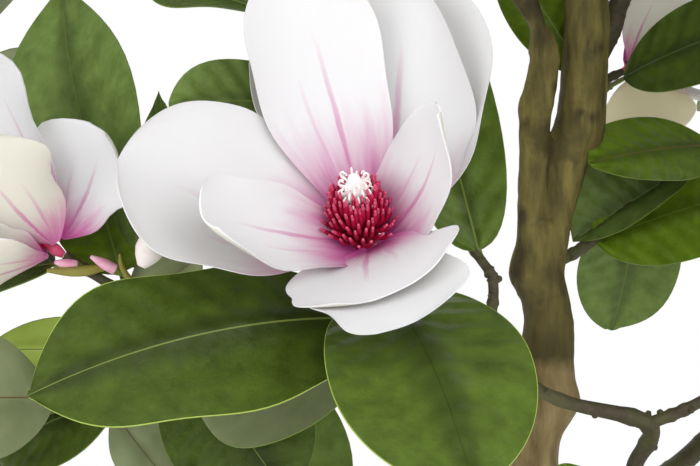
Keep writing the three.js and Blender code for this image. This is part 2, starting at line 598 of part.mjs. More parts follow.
function leafWithRoom(twig, along, { around, long, bend, open }, mass, placed) {
  const foot = curvePoint(twig.points, Math.min(along, 0.985));
  const ahead = headingAt(twig, along);
  const [first, second] = squareTo(ahead);
  for (const shape of SHAPES) {
    const angle = around + shape.turn;
    const out = add(scaled(first, Math.cos(angle)), second, Math.sin(angle));
    const heading = unit(add(add(scaled(ahead, Math.cos(open)), out, Math.sin(open)), UP, 0.18));
    const upper = unit(add(add(scaled(ahead, Math.sin(open)), out, -Math.cos(open)), UP, 0.9));
    const length = long * shape.length;
    const tip = add(foot, heading, length);
    const leaf = { foot, tip, face: upper, width: length * LEAF_WIDTH, bend, fold: 0.12, outline: LEAF_OUTLINE };
    const samples = samplesOf(leaf);
    if (!samples.every((point) => free(point, mass))) continue;
    if (samples.some((point) => placed.some((other) => size(sub(point, other)) < 17))) continue;
    return leaf;
  }
  return null;
}

// ---------------------------------------------------------------- assembly
const tree = new THREE.Group();
tree.name = "tree";
const BARK = new THREE.MeshStandardMaterial({ color: 0x6f6248 });
const LEAF_GREEN = new THREE.MeshStandardMaterial({ color: 0x4a6b28 });
const PETAL_WHITE = new THREE.MeshStandardMaterial({ color: 0xf2eeee });

function place(name, solid, material) {
  const mesh = new THREE.Mesh(geometryFrom(solid), material);
  mesh.name = name;
  tree.add(mesh);
}

const TRUNK_RINGS = 22;
const STEM_RINGS = 20;
const upright = [
  limbSolid(TRUNK, 10, TRUNK_RINGS),
  limbSolid(STEMS.left_stem, 8, STEM_RINGS),
  limbSolid(STEMS.right_stem, 10, STEM_RINGS),
];
place("trunk", joined(upright).trimByPlane([0, 0, -1], -FORK_CUT), BARK);
place("stem_left", upright[1].trimByPlane([0, 0, 1], FORK_CUT + CLEAR), BARK);
place("stem_right", upright[2].trimByPlane([0, 0, 1], FORK_CUT + CLEAR), BARK);
const swollen = joined([
  limbSolid(TRUNK, 10, TRUNK_RINGS, CLEAR),
  limbSolid(STEMS.left_stem, 8, STEM_RINGS, CLEAR),
  limbSolid(STEMS.right_stem, 10, STEM_RINGS, CLEAR),
]);

for (const [name, limb] of Object.entries(LIMBS))
  if (name.startsWith("bough_")) place(name, joined([limbSolid(limb, 5, 5).subtract(swollen)]), BARK);

const leafOn = (twigs) => ([name, along, tip, width, face, bend, fold]) => ({
  foot: curvePoint(twigs[name].points, along),
  tip, width, face, bend, fold,
  outline: LEAF_OUTLINE,
});
const budSolid = (foot, tip) => limbSolid({ points: [foot, tip], radii: [2, 5, 8, 8, 6, 2.5] }, 5, 4);
const handMass = (name, twigs, leaves, buds) => {
  const solids = [
    ...Object.values(twigs).map((twig) => limbSolid(twig, 4, 2 * (twig.points.length - 1))),
    ...leaves.map(leafOn(twigs)).map(largeLeafSolid),
    ...buds.map(({ twig, along, tip }) => budSolid(curvePoint(twigs[twig].points, along), tip)),
  ];
  place(name, joined([wasm.Manifold.union(solids).subtract(swollen)]), LEAF_GREEN);
};
handMass("mass_front", FRONT_TWIGS, FRONT_LEAVES, BUDS);
handMass("mass_trunk_right", TRUNK_TWIGS, TRUNK_LEAVES, []);
handMass("mass_stem_right", STEM_TWIGS, STEM_LEAVES, []);

const placed = [];
for (const mass of MASSES) {
  const { twigs, leaves } = growMass(mass, placed);
  const solids = [
    limbSolid(mass.stem, 4, 4),
    ...twigs.map((twig) => limbSolid(twig, 3, 2)),
    ...leaves.map(leafSolid),
  ];
  if (mass.bud) {
    const end = mass.stem.points[mass.stem.points.length - 1];
    const ahead = headingAt(mass.stem, 1);
    solids.push(budSolid(add(end, ahead, -2), add(end, ahead, 42)));
  }
  place(`mass_${mass.name}`, joined([wasm.Manifold.union(solids).subtract(swollen)]), LEAF_GREEN);
}

for (const bloom of BLOOMS) {
  const large = bloom.name === "bloom_front";
  const stations = large ? [0.22, 0.46, 0.7, 0.9] : [0.48, 0.85];
  place(bloom.name, bloomSolid(bloom, stations, [-1, 0, 1]), PETAL_WHITE);
}

export default tree;
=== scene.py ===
import math

import bpy
import numpy as np
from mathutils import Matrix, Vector, noise


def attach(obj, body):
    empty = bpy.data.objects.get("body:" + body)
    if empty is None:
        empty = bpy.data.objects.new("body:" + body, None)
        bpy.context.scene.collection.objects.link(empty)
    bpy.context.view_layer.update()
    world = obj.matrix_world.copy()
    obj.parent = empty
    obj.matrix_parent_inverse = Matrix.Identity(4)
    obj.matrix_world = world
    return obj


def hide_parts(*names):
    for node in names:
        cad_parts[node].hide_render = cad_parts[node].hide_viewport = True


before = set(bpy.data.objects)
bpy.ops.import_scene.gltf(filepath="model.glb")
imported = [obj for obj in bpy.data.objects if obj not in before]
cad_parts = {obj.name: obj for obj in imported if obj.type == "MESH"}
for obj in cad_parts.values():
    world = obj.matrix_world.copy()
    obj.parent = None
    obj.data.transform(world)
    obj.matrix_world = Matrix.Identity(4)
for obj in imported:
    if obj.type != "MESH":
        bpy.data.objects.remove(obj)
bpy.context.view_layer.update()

# The view, the floor and the light: a close look into the front of the crown from about its own height, a
# plain pale floor under the whole tree, and wide soft lamps round it in a white room.
camera = bpy.data.objects.new("camera", bpy.data.cameras.new("camera"))
camera.location = (-0.115, -1.33, 1.03)
camera.rotation_euler = (math.radians(86), 0, 0)
camera.data.lens = 115
camera.data.sensor_width = 36
camera.data.clip_end = 60
bpy.context.collection.objects.link(camera)
bpy.context.scene.camera = camera
bpy.context.scene.view_settings.view_transform = "Standard"


def linear(code):
    """The linear colour of an sRGB hex code."""
    parts = [int(code[i : i + 2], 16) / 255 for i in (1, 3, 5)]
    return [c / 12.92 if c <= 0.04045 else ((c + 0.055) / 1.055) ** 2.4 for c in parts] + [1]


def new_material(name, colour, roughness, ior=1.45, specular=0.5):
    """A material, its node tree and its shader."""
    material = bpy.data.materials.new(name)
    material.use_nodes = True
    shader = material.node_tree.nodes["Principled BSDF"]
    shader.inputs["Base Color"].default_value = linear(colour)
    shader.inputs["Roughness"].default_value = roughness
    shader.inputs["IOR"].default_value = ior
    shader.inputs["Specular IOR Level"].default_value = specular
    return material, material.node_tree, shader


def add_node(tree, kind, inputs, **settings):
    """Adds a node and gives its outputs.

    An input is a value, an sRGB hex code, or an output to link from. A list fills the inputs in order: that
    of a Map Range is its value, the range that the value comes in, and the range that it is brought to.
    """
    made = tree.nodes.new("ShaderNode" + kind)
    for key, value in settings.items():
        setattr(made, key, value)
    for key, value in inputs.items() if isinstance(inputs, dict) else enumerate(inputs):
        if isinstance(value, bpy.types.NodeSocket):
            tree.links.new(value, made.inputs[key])
        else:
            made.inputs[key].default_value = linear(value) if isinstance(value, str) else value
    return made.outputs


MM = 0.001


def two_toned(name, plain, dark, pale, marks, detail, roughness=0.5, ior=1.45, specular=0.5):
    """A finish whose two tones fade into each other in marks of about a size in millimetres."""
    material, tree, shader = new_material(name, plain, roughness, ior, specular)
    place = add_node(tree, "TexCoord", {})["Object"]
    fade = add_node(tree, "TexNoise", {"Vector": place, "Scale": 1 / (marks * MM), "Detail": detail})["Fac"]
    tone = add_node(tree, "Mix", {0: fade, 6: dark, 7: pale}, data_type="RGBA")[2]
    tree.links.new(tone, shader.inputs["Base Color"])
    return material, tree, shader


# Floor: matt off-white studio vinyl, laid flat. A faint mottle, with six marks to a metre, keeps it from
# looking like paper.
floor_vinyl = two_toned("floor vinyl", "#f4f4f2", "#f1f1ef", "#f6f6f4", 1000 / 6, 2.0, 0.7)[0]
bpy.ops.mesh.primitive_circle_add(vertices=128, radius=4.0, fill_type="NGON", location=(0, 0, 0))
floor = bpy.context.object
floor.name = "floor"
floor.data.materials.append(floor_vinyl)

world = bpy.data.worlds.new("room")
world.use_nodes = True
world.node_tree.nodes["Background"].inputs["Color"].default_value = linear("#ffffff")
world.node_tree.nodes["Background"].inputs["Strength"].default_value = 1.0
bpy.context.scene.world = world


def soft_lamp(name, where, aim, width, power):
    """A square area lamp in metres and watts that looks at a point."""
    lamp = bpy.data.objects.new(name, bpy.data.lights.new(name, "AREA"))
    lamp.data.size = width
    lamp.data.energy = power
    lamp.location = where
    lamp.rotation_euler = (Vector(aim) - Vector(where)).to_track_quat("-Z", "Y").to_euler()
    bpy.context.collection.objects.link(lamp)


soft_lamp("key", (0.9, -2.9, 2.0), (0, 0, 1.05), 2.2, 47)
soft_lamp("fill", (-2.4, -1.8, 1.6), (0, 0, 1.05), 2.0, 24)
soft_lamp("back", (0.6, 2.6, 2.6), (0, 0, 1.1), 1.8, 14)

# Trunk and its two stems: one slim piece of wood, cut flat at the foot, that forks at chest height. Its bark
# is smooth, with long shallow wrinkles and with swellings where twigs were pruned.
UP = np.array([0.0, 0.0, 1.0])
TRUNK = {
    "points": [
        [0, 0, 0], [0, 0, 60], [5, 3, 180], [-3, 4, 330], [-6, -2, 480], [2, -4, 620],
        [0, 0, 720], [-8, 0, 797], [-1, 0, 836], [5, 0, 868], [3, 0, 892], [-3, 0, 920], [-1, 0, 945],
    ],
    "radii": [40, 31, 27, 25, 24, 22.5, 21, 18.5, 17, 14, 13.5, 14, 12],
    "knots": [
        [840, 0, 7, 13], [868, 180, 4, 14], [914, 180, 4, 9], [949, 200, 4, 9], [690, 250, 6, 22],
        [560, 30, 5, 25], [410, 150, 6, 28], [250, 320, 5, 30], [20, 70, 12, 40], [20, 190, 10, 40],
        [20, 300, 13, 40],
    ],
}
LEFT_STEM = {
    "points": [
        [-6, -1, 900], [-7, -3, 940], [-6, -5, 975], [-5, -6, 1004], [-1, -6, 1030], [0, -7, 1048],
        [-15, -9, 1083], [-44, -14, 1135], [-76, -20, 1195], [-100, -24, 1255],
    ],
    "radii": [9, 9, 9.4, 9, 9.4, 8, 7.2, 7, 6, 5],
    "knots": [[1012, 180, 2.5, 8], [1046, 180, 2, 7], [985, 0, 2, 8], [1062, 0, -3, 9], [1062, 180, -3, 9]],
}
RIGHT_STEM = {
    "points": [
        [3, 2, 900], [6, 3, 940], [12, 4, 970], [16.5, 4.5, 988], [22.5, 5, 1007], [25, 6, 1035],
        [26, 6, 1070], [22, 4, 1130], [12, 0, 1210], [14, 4, 1300], [4, 2, 1400], [6, 0, 1490],
    ],
    "radii": [8, 11, 12.5, 14, 14.6, 14, 13.5, 12.5, 11, 9.5, 7.5, 5],
    "knots": [[998, 20, 3, 9], [1052, 260, 2, 9], [1150, 300, 3, 12]],
}


def lengths(v):
    """The length of each vector."""
    return np.sqrt((v * v).sum(-1))


def unit(v):
    """Vectors brought to a length of one."""
    return v / lengths(v)[..., None]


def curve(points, t):
    """The points at t, from 0 to 1, of a smooth curve through the points."""
    points = np.asarray(points, float)
    last = len(points) - 1
    at = np.clip(np.asarray(t, float), 0, 1) * last
    i = np.minimum(np.floor(at).astype(int), last - 1)
    w = (at - i)[..., None]
    p1 = points[i]
    p2 = points[i + 1]
    p0 = np.vstack([2 * points[0] - points[1], points])[i]
    p3 = np.vstack([points, 2 * points[-1] - points[-2]])[i + 2]
    m1 = (p2 - p0) / 2
    m2 = (p3 - p1) / 2
    return p1 + m1 * w + (-3 * p1 + 3 * p2 - 2 * m1 - m2) * w**2 + (2 * p1 - 2 * p2 + m1 + m2) * w**3


def list_value(values, t):
    """The value at t, from 0 to 1, of a list that is read evenly."""
    return np.interp(np.clip(t, 0, 1) * (len(values) - 1), np.arange(len(values)), values)


def square_to(direction):
    """Two unit vectors square to a direction and to each other."""
    helper = UP if abs(direction[2]) < 0.9 else np.array([1.0, 0.0, 0.0])
    first = unit(np.cross(helper, direction))
    return first, np.cross(direction, first)


def heading_at(points, t):
    """The direction of a smooth curve at t, from 0 to 1."""
    return unit(curve(points, t + 0.01) - curve(points, t - 0.01))


def tube(points, radii, sides, rings, knots=(), relief=None, colour=0):
    """A closed round tube along a smooth curve, in millimetres; relief adds to its radius at each t.

    A knot is a height, a heading in degrees, how far it swells there, and how far it spreads.
    """
    t = np.linspace(0, 1, rings + 1)
    centres = curve(points, t)
    ahead = heading_at(points, t)
    radius = list_value(radii, t) + (0 if relief is None else relief(t))
    across = square_to(ahead[0])[0]
    turns = np.linspace(0, 2 * np.pi, sides, endpoint=False)
    rows = []
    for k in range(rings + 1):
        across = unit(across - ahead[k] * (across @ ahead[k]))
        other = np.cross(ahead[k], across)
        out = np.cos(turns)[:, None] * across + np.sin(turns)[:, None] * other
        push = np.zeros(sides)
        for height, heading, swell, spread in knots:
            along = (centres[k, 2] - height) / spread
            turn = np.arctan2(out[:, 1], out[:, 0]) - math.radians(heading)
            push += swell * np.exp(-along * along) * np.exp(2.5 * (np.cos(turn) - 1))
        rows.append(centres[k] + out * (radius[k] + push)[:, None])
    ring = np.arange(sides)
    beside = (ring + 1) % sides
    start = (np.arange(rings) * sides)[:, None]
    quads = np.stack([start + ring, start + beside, start + beside + sides, start + ring + sides], -1)
    caps = [ring[::-1].tolist(), (ring + rings * sides).tolist()]
    return {
        "verts": np.concatenate(rows),
        "quads": quads.reshape(-1, 4),
        "caps": caps,
        "looks": np.full(rings * sides, colour),
        "cap_looks": [colour, colour],
    }


def build(name, parts, materials, sharp=40):
    """One mesh object from parts in millimetres, smooth but for edges sharper than the angle in degrees."""
    verts = np.concatenate([part["verts"] for part in parts]) * MM
    starts = np.cumsum([0] + [len(part["verts"]) for part in parts])
    quads = np.concatenate([part["quads"] + start for part, start in zip(parts, starts)])
    caps = [[v + start for v in cap] for part, start in zip(parts, starts) for cap in part["caps"]]
    looks = [look for part in parts for look in part["cap_looks"]]
    corners = np.concatenate([quads.ravel(), np.array([v for cap in caps for v in cap], int)])
    sizes = [4] * len(quads) + [len(cap) for cap in caps]
    mesh = bpy.data.meshes.new(name)
    mesh.vertices.add(len(verts))
    mesh.vertices.foreach_set("co", verts.astype(np.float32).ravel())
    mesh.loops.add(len(corners))
    mesh.loops.foreach_set("vertex_index", corners.astype(np.int32))
    mesh.polygons.add(len(sizes))
    mesh.polygons.foreach_set("loop_start", np.cumsum([0] + sizes[:-1]).astype(np.int32))
    for material in materials:
        mesh.materials.append(material)
    every = np.concatenate([part["looks"] for part in parts] + [np.array(looks, int)])
    mesh.polygons.foreach_set("material_index", every.astype(np.int32))
    mesh.update(calc_edges=True)
    if "uv" in parts[0]:
        flat = np.concatenate([part["uv"] for part in parts])
        layer = mesh.uv_layers.new(name="blade")
        layer.data.foreach_set("uv", flat[corners].astype(np.float32).ravel())
    mesh.shade_smooth()
    mesh.set_sharp_from_angle(angle=math.radians(sharp))
    piece = bpy.data.objects.new(name, mesh)
    bpy.context.collection.objects.link(piece)
    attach(piece, "root")
    return piece


def fused(piece, voxel):
    """The piece's closed parts melted into one skin, on a grid of that size in metres."""
    melt = piece.modifiers.new("melt", "REMESH")
    melt.mode = "VOXEL"
    melt.voxel_size = voxel
    ease = piece.modifiers.new("ease", "SMOOTH")
    ease.factor = 0.5
    ease.iterations = 4
    seen = piece.evaluated_get(bpy.context.evaluated_depsgraph_get())
    skin = bpy.data.meshes.new_from_object(seen)
    piece.modifiers.clear()
    piece.data = skin
    skin.shade_smooth()
    return skin


# Bark of the trunk: smooth young bark, rubbed and weathered. It gives a matt olive brown with darker smudges,
# long pale streaks where it has stretched, near-black knots, a dark patch on the top of the left stem that is
# partly its own bark and partly painted shade, a painted shadow band just above a ragged edge, and a barer
# tan from that edge downwards.
bark, tree, shader = new_material("smooth olive bark", "#5d562e", 0.72, specular=0.3)
place = add_node(tree, "TexCoord", {})["Object"]
long_wrinkles = add_node(tree, "Mapping", {"Vector": place, "Scale": (1.0, 1.0, 0.22)})["Vector"]
streaks = add_node(
    tree, "TexNoise", {"Vector": long_wrinkles, "Scale": 1 / (9 * MM), "Detail": 5.0, "Roughness": 0.6}
)["Fac"]
patches = add_node(
    tree, "TexNoise", {"Vector": place, "Scale": 1 / (34 * MM), "Detail": 4.0, "Roughness": 0.55}
)["Fac"]
grain = add_node(
    tree, "TexNoise", {"Vector": place, "Scale": 1 / (1.6 * MM), "Detail": 3.0, "Roughness": 0.6}
)["Fac"]
streak_share = add_node(tree, "MapRange", [streaks, 0.32, 0.68, 0.0, 1.0])[0]
olive = add_node(tree, "Mix", {0: streak_share, 6: "#3a3418", 7: "#766b38"}, data_type="RGBA")[2]
smudge_share = add_node(tree, "MapRange", [patches, 0.53, 0.66, 0.0, 0.75])[0]
smudged = add_node(tree, "Mix", {0: smudge_share, 6: olive, 7: "#3a3218"}, data_type="RGBA")[2]
tan = add_node(tree, "Mix", {0: streak_share, 6: "#5c4d2b", 7: "#8a7953"}, data_type="RGBA")[2]
height = add_node(tree, "SeparateXYZ", [place])["Z"]
ragged = add_node(tree, "Math", [patches, 30 * MM, height], operation="MULTIPLY_ADD")[0]
foot_share = add_node(tree, "MapRange", [ragged, 871 * MM, 879 * MM, 1.0, 0.0])[0]
# A painted shadow band: the bark is darkened for a few centimetres above the ragged edge of the tan foot.
shadow_band_share = add_node(tree, "MapRange", [ragged, 878 * MM, 942 * MM, 0.8, 0.0])[0]
shadow_banded = add_node(tree, "Mix", {0: shadow_band_share, 6: smudged, 7: "#342d0e"}, data_type="RGBA")[2]
shade = add_node(tree, "Mix", {0: foot_share, 6: shadow_banded, 7: tan}, data_type="RGBA")[2]
# Near-black spots: real knots, and the three wide ones on the top of the left stem, which are partly its dark
# bark and partly painted shade.
SPOT_CORE = 7
KNOT_AND_SHADE_SPOTS = [
    (28, -9, 1006, 6), (21, -9, 1009, 5), (4, -14, 986, 6), (-14, -10, 949, 7), (-16, -8, 914, 8),
    (33, -8, 1047, 6), (12, -10, 1046, 5), (-12, -12, 1002, 6), (6, -14, 1024, 6), (-20, -14, 1088, 20),
    (-9, -14, 1070, 17), (-1, -14, 1052, 11), (3, -14, 1000, 6), (6, -14, 974, 5),
]
for x, y, z, spread in KNOT_AND_SHADE_SPOTS:
    spot = (x * MM, y * MM, z * MM)
    away = add_node(tree, "VectorMath", [place, spot], operation="DISTANCE")["Value"]
    ragged_edge = add_node(tree, "Math", [streaks, 2 * SPOT_CORE * MM, away], operation="MULTIPLY_ADD")[0]
    reach = (SPOT_CORE + spread) * MM
    dark = add_node(tree, "MapRange", [ragged_edge, SPOT_CORE * MM, reach, 0.9, 0.0])[0]
    shade = add_node(tree, "Mix", {0: dark, 6: shade, 7: "#2a2312"}, data_type="RGBA")[2]
tree.links.new(shade, shader.inputs["Base Color"])
lumps = add_node(tree, "Bump", {"Strength": 0.7, "Distance": 1.2 * MM, "Height": streaks})["Normal"]
pores = add_node(
    tree, "Bump", {"Strength": 0.5, "Distance": 0.3 * MM, "Height": grain, "Normal": lumps}
)["Normal"]
tree.links.new(pores, shader.inputs["Normal"])

trunk = build(
    "trunk_bark",
    [
        tube(TRUNK["points"], TRUNK["radii"], 48, 240, TRUNK["knots"]),
        tube(LEFT_STEM["points"], LEFT_STEM["radii"], 32, 110, LEFT_STEM["knots"]),
        tube(RIGHT_STEM["points"], RIGHT_STEM["radii"], 32, 160, RIGHT_STEM["knots"]),
    ],
    [bark],
)
skin = fused(trunk, (1.8) * MM)
flat = np.empty(len(skin.vertices) * 3, np.float32)
skin.vertices.foreach_get("co", flat)
where = flat.reshape(-1, 3).astype(float)
skin.vertices.foreach_get("normal", flat)
normals = flat.reshape(-1, 3).astype(float)
ACROSS = 70
ALONG = 14
FINE = 160
wrinkles = [
    0.9 * noise.fractal(Vector((x * ACROSS, y * ACROSS, z * ALONG)), 0.8, 2.1, 4)
    + 0.35 * noise.noise(Vector((x * FINE, y * FINE, z * FINE)))
    for x, y, z in where
]
where += normals * (np.array(wrinkles) * MM)[:, None]
where[:, 2] = np.maximum(where[:, 2], 0)
skin.vertices.foreach_set("co", where.astype(np.float32).ravel())
skin.update()
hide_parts("trunk", "stem_left", "stem_right")

# Boughs: sixteen tapering limbs of the same wood, let into the trunk and stems. Each leaves outwards and then
# turns up into the spray that it carries, with a slight swelling at every old leaf scar.
CLEAR = 0.3
BOUGH_TIP = 5
MASS_KEYS = ("name", "limb", "fork", "rise", "middle", "room", "floor", "seed", "bud")
MASS_ROWS = [
    ("low_left", "trunk", 650, 0.08, [-452, -110, 985], 165, 840, 11, False),
    ("low_front", "trunk", 690, 0.08, [268, -215, 1000], 165, 850, 25, False),
    ("low_right", "trunk", 660, 0.2, [355, 90, 1020], 165, 870, 33, False),
    ("low_back_left", "trunk", 600, -0.05, [-460, 170, 1060], 150, 900, 44, True),
    ("low_back", "trunk", 760, 0.08, [290, 300, 1080], 160, 920, 58, False),
    ("mid_front", "left_stem", 1095, 0.2, [-105, -320, 1290], 170, 1085, 41, False),
    ("mid_left", "left_stem", 1150, 0.2, [-345, -70, 1290], 175, 1085, 52, False),
    ("mid_back_left", "right_stem", 1130, 0.2, [-240, 235, 1300], 175, 1100, 63, False),
    ("mid_back", "right_stem", 1100, 0.2, [60, 320, 1310], 170, 1100, 74, False),
    ("mid_right", "right_stem", 1030, 0.2, [325, 20, 1315], 175, 1100, 85, True),
    ("mid_front_right", "right_stem", 1170, 0.2, [190, -245, 1300], 170, 1085, 96, False),
    ("high_front", "right_stem", 1330, 0.2, [-40, -190, 1545], 165, 1300, 107, False),
    ("high_left", "left_stem", 1235, 0.2, [-215, 20, 1530], 165, 1300, 118, True),
    ("high_back", "right_stem", 1370, 0.2, [0, 205, 1550], 165, 1300, 129, False),
    ("high_right", "right_stem", 1290, 0.2, [200, 0, 1560], 165, 1300, 140, True),
    ("top", "right_stem", 0, 0.2, [0, 8, 1690], 150, 1500, 151, False),
]
MASSES = [dict(zip(MASS_KEYS, row)) for row in MASS_ROWS]
VIA = {"mid_right": [[41, 14, 1058], [50, 24, 1080], [82, 34, 1130]]}
limbs = {"trunk": TRUNK, "left_stem": LEFT_STEM, "right_stem": RIGHT_STEM}
limbs["bough_front"] = {
    "points": [[0, -2, 640], [12, -70, 690], [22, -150, 745], [27, -195, 790], [28, -205, 815.5]],
    "radii": [9, 7.5, 6.5, 5.6, 5.4],
}


def axis_at(limb, height):
    """The point of a limb's middle line at a height."""
    line = np.vstack([limb["points"][0], curve(limb["points"], np.arange(201) / 200)])
    return line[np.argmin(np.abs(line[:, 2] - height))]


def bough_of(mass):
    """A bough from its fork to the mouth of its spray."""
    start = axis_at(limbs[mass["limb"]], mass["fork"])
    middle = np.array(mass["middle"], float)
    back = unit(start - middle)
    mouth = middle + back * 0.4 * mass["room"] - UP * 0.3 * mass["room"]
    way = mouth - start
    near = start + way * [0.4, 0.4, mass["rise"]]
    far = start + way * [0.76, 0.76, mass["rise"] + 0.38]
    thick = 9 if mass["limb"] == "trunk" else 7.5
    inner = VIA.get(mass["name"], [near, far])
    return {
        "points": [start, *inner, mouth],
        "radii": [thick, (thick + BOUGH_TIP) / 2, BOUGH_TIP + 0.6, BOUGH_TIP - 1],
    }


for mass in MASSES:
    mass["bough"] = mass["limb"]
    if mass["fork"]:
        mass["bough"] = "bough_" + mass["name"]
        limbs[mass["bough"]] = bough_of(mass)


SCAR_WIDTH = 2.6


def scars(length, pitch, height, seed):
    """Rings a little proud of a limb, one at about each pitch, in millimetres."""
    number = np.arange(1, max(int(length / pitch), 1) + 1)
    spots = (number + 0.3 * np.sin(number * 2.3 + seed)) * pitch / length
    return lambda t: height * np.exp(-(((t[:, None] - spots) * length / SCAR_WIDTH) ** 2)).sum(1)


def length_of(points):
    """The length of a smooth curve through the points."""
    line = curve(points, np.linspace(0, 1, 60))
    return lengths(line[1:] - line[:-1]).sum()


# Bark of the boughs and twigs: younger, matt and finely ridged. It is near black in the grooves and grey
# brown on the ridges, with a green tint in patches.
young_bark, tree, shader = new_material("ridged young bark", "#4a4229", 0.7)
place = add_node(tree, "TexCoord", {})["Object"]
ridges = add_node(
    tree, "TexNoise", {"Vector": place, "Scale": 1 / (4 * MM), "Detail": 4.0, "Roughness": 0.65}
)["Fac"]
tint = add_node(
    tree, "TexNoise", {"Vector": place, "Scale": 1 / (28 * MM), "Detail": 3.0, "Roughness": 0.5}
)["Fac"]
brown = add_node(tree, "Mix", {0: ridges, 6: "#18130a", 7: "#50482f"}, data_type="RGBA")[2]
green_share = add_node(tree, "MapRange", [tint, 0.45, 0.65, 0.0, 0.6])[0]
tinted = add_node(tree, "Mix", {0: green_share, 6: brown, 7: "#4c4f22"}, data_type="RGBA")[2]
tree.links.new(tinted, shader.inputs["Base Color"])
rough = add_node(tree, "Bump", {"Strength": 0.8, "Distance": 0.8 * MM, "Height": ridges})["Normal"]
tree.links.new(rough, shader.inputs["Normal"])

parts = []
for name, limb in limbs.items():
    if name.startswith("bough_"):
        span = length_of(limb["points"])
        relief = scars(span, 30, 0.5, len(parts))
        parts.append(tube(limb["points"], limb["radii"], 12, int(span / 4), relief=relief))
boughs = build("boughs_bark", parts, [young_bark], sharp=60)
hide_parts(*[name for name in limbs if name.startswith("bough_")])

# Twigs: thin brown wood, wired onto the bough ends. Each spray has one stem that ends in its bloom or bud, up
# to six twigs on it in a spiral, and finer side shoots on those, all placed where nothing else already is.
MASS_STEM = [3.6, 3.2, 2.6]
TWIG = [3, 2.7, 2.3]
TWIGS = 6
LEAVES = 5
GOLDEN = 2.39996
LEAF_LENGTH = (126, 172)
SHOOTS = 3
SHOOT_LENGTH = (26, 56)
YOUNG_LEAVES = 4
YOUNG_LENGTH = (62, 110)
LEAF_OUTLINE = (0.12, 0.72, 0.6)
STALK = 1.5
CROWN_AXIS = np.array([-20.0, 0.0, 1150.0])
SHAPES = [(length, turn) for length in (1, 0.88, 0.76) for turn in (0, 0.7, -0.7)]
FRONT_TWIGS = {
    "main": ([4.4, 4.2, 4.4, 3.1, 2.9, 2.5, 2.5, 2.8], [
        [28, -205.1, 815.8], [28.8, -212.4, 834.4], [32.8, -230, 858], [-11.5, -236, 871], [-50, -245, 892],
        [-90.8, -255, 912.7], [-102.9, -251.4, 936.3], [-104.5, -262, 947.9]]),
    "east": ([3.2, 2.8, 2.4], [[32.8, -230, 858], [59.3, -225, 868.4], [98, -222, 893]]),
    "rear": ([2.6, 2.6, 2.4, 2.2, 2], [
        [-50, -245, 892], [-45, -243, 927.5], [-53.5, -238, 944.3], [-96, -200, 1003], [-161.6, -192, 1069]]),
    "west": ([2.6, 2.4, 2.4, 2.6], [
        [-90.8, -255, 912.7], [-125, -218, 881], [-183.3, -205, 894.5], [-245.9, -206.4, 931.4],
        [-258.8, -208, 940.2]]),
    "low": ([2.2, 2, 1.8], [[-183.3, -205, 894.5], [-222, -188, 868], [-262, -182, 864]]),
    "trunk": ([4, 3.4, 3, 2.6, 2.2], [
        [0, 0, 916], [27, 16, 928], [61.6, 30, 955], [119, 42, 988], [168, 50, 1000]]),
    "stem": ([3, 2.6, 2.4], [[24, 6, 1018], [40, 30, 1023], [41.4, 51.9, 1027.2], [53.6, 60, 1032.9]]),
}
CLAIMS = [
    ("front", [-110, -285, 960]),
    ("front", [-260, -180, 950]),
    ("front", [-150, -190, 860]),
    ("front", [60, -235, 870]),
    ("trunk_right", [110, 40, 975]),
    ("stem_right", [60, 40, 1055]),
] + [(mass["name"], mass["middle"]) for mass in MASSES]

for mass in MASSES:
    carrier = limbs[mass["bough"]]["points"]
    ahead = heading_at(carrier, 1.0)
    start = np.array(carrier[-1], float) + ahead * CLEAR
    middle = np.array(mass["middle"], float)
    lean = unit(unit(middle - CROWN_AXIS) + UP * 0.45)
    end = middle + lean * (0.3 if mass["bud"] else 0.42) * mass["room"]
    mass["stem"] = [start, start + ahead * 22, end - lean * 30, end]

limb_points = []
limb_radii = []
for limb in limbs.values():
    span = np.array(limb["points"][-1], float) - np.array(limb["points"][0], float)
    steps = math.ceil(np.sqrt(span @ span) / 9)
    t = np.arange(steps + 1) / steps
    limb_points.append(curve(limb["points"], t))
    limb_radii.append(list_value(limb["radii"], t))
limb_points = np.concatenate(limb_points)
limb_radii = np.concatenate(limb_radii)


def bloom_on(points):
    """Where a bloom sits on the end of a twig, and the way it faces."""
    ahead = heading_at(points, 1.0)
    return np.array(points[-1], float) + ahead * CLEAR, ahead


seats = {
    "bloom_front": bloom_on(FRONT_TWIGS["main"][1]),
    "bloom_left": bloom_on(FRONT_TWIGS["west"][1]),
    "bloom_right": bloom_on(FRONT_TWIGS["stem"][1]),
}
for mass in MASSES:
    if not mass["bud"]:
        seats["bloom_" + mass["name"]] = bloom_on(mass["stem"])
bloom_feet = np.array([foot for foot, axis in seats.values()])
bloom_axes = np.array([axis for foot, axis in seats.values()])
OWN_SIDE = 4
LIMB_GAP = 9
BLOOM_RADIUS = 102
BLOOM_HEIGHT = 125


def free(points, mass):
    """True if every point is in the spray's own space, above its floor and clear of limbs and blooms."""
    if (points[:, 2] < mass["floor"]).any():
        return False
    own = lengths(points - mass["middle"])
    others = np.array([middle for name, middle in CLAIMS if name != mass["name"]], float)
    gaps = lengths(points[:, None] - others)
    if (gaps < own[:, None] + OWN_SIDE).any():
        return False
    gaps = lengths(points[:, None] - limb_points)
    if (gaps < limb_radii + LIMB_GAP).any():
        return False
    away = points[:, None] - bloom_feet
    height = (away * bloom_axes).sum(2)
    radius = lengths(away - height[..., None] * bloom_axes)
    inside = (radius < BLOOM_RADIUS) & (height < BLOOM_HEIGHT) & (height > 0.3 * radius - 4)
    return not inside.any()


def half_width(blade, t):
    """Half the width of a leaf or petal at t, or of its stalk."""
    stalk, a, b = blade["outline"]
    reach = np.maximum((t - stalk) / (1 - stalk), 0)
    widest = a / (a + b)
    profile = (reach / widest) ** a * ((1 - reach) / (1 - widest)) ** b
    if "point" in blade:
        profile = profile * (1 - np.exp((reach - 1) / blade["point"])) ** 0.5
    return np.maximum(blade["width"] / 2 * profile, np.where(t < 0.5, STALK, 0))


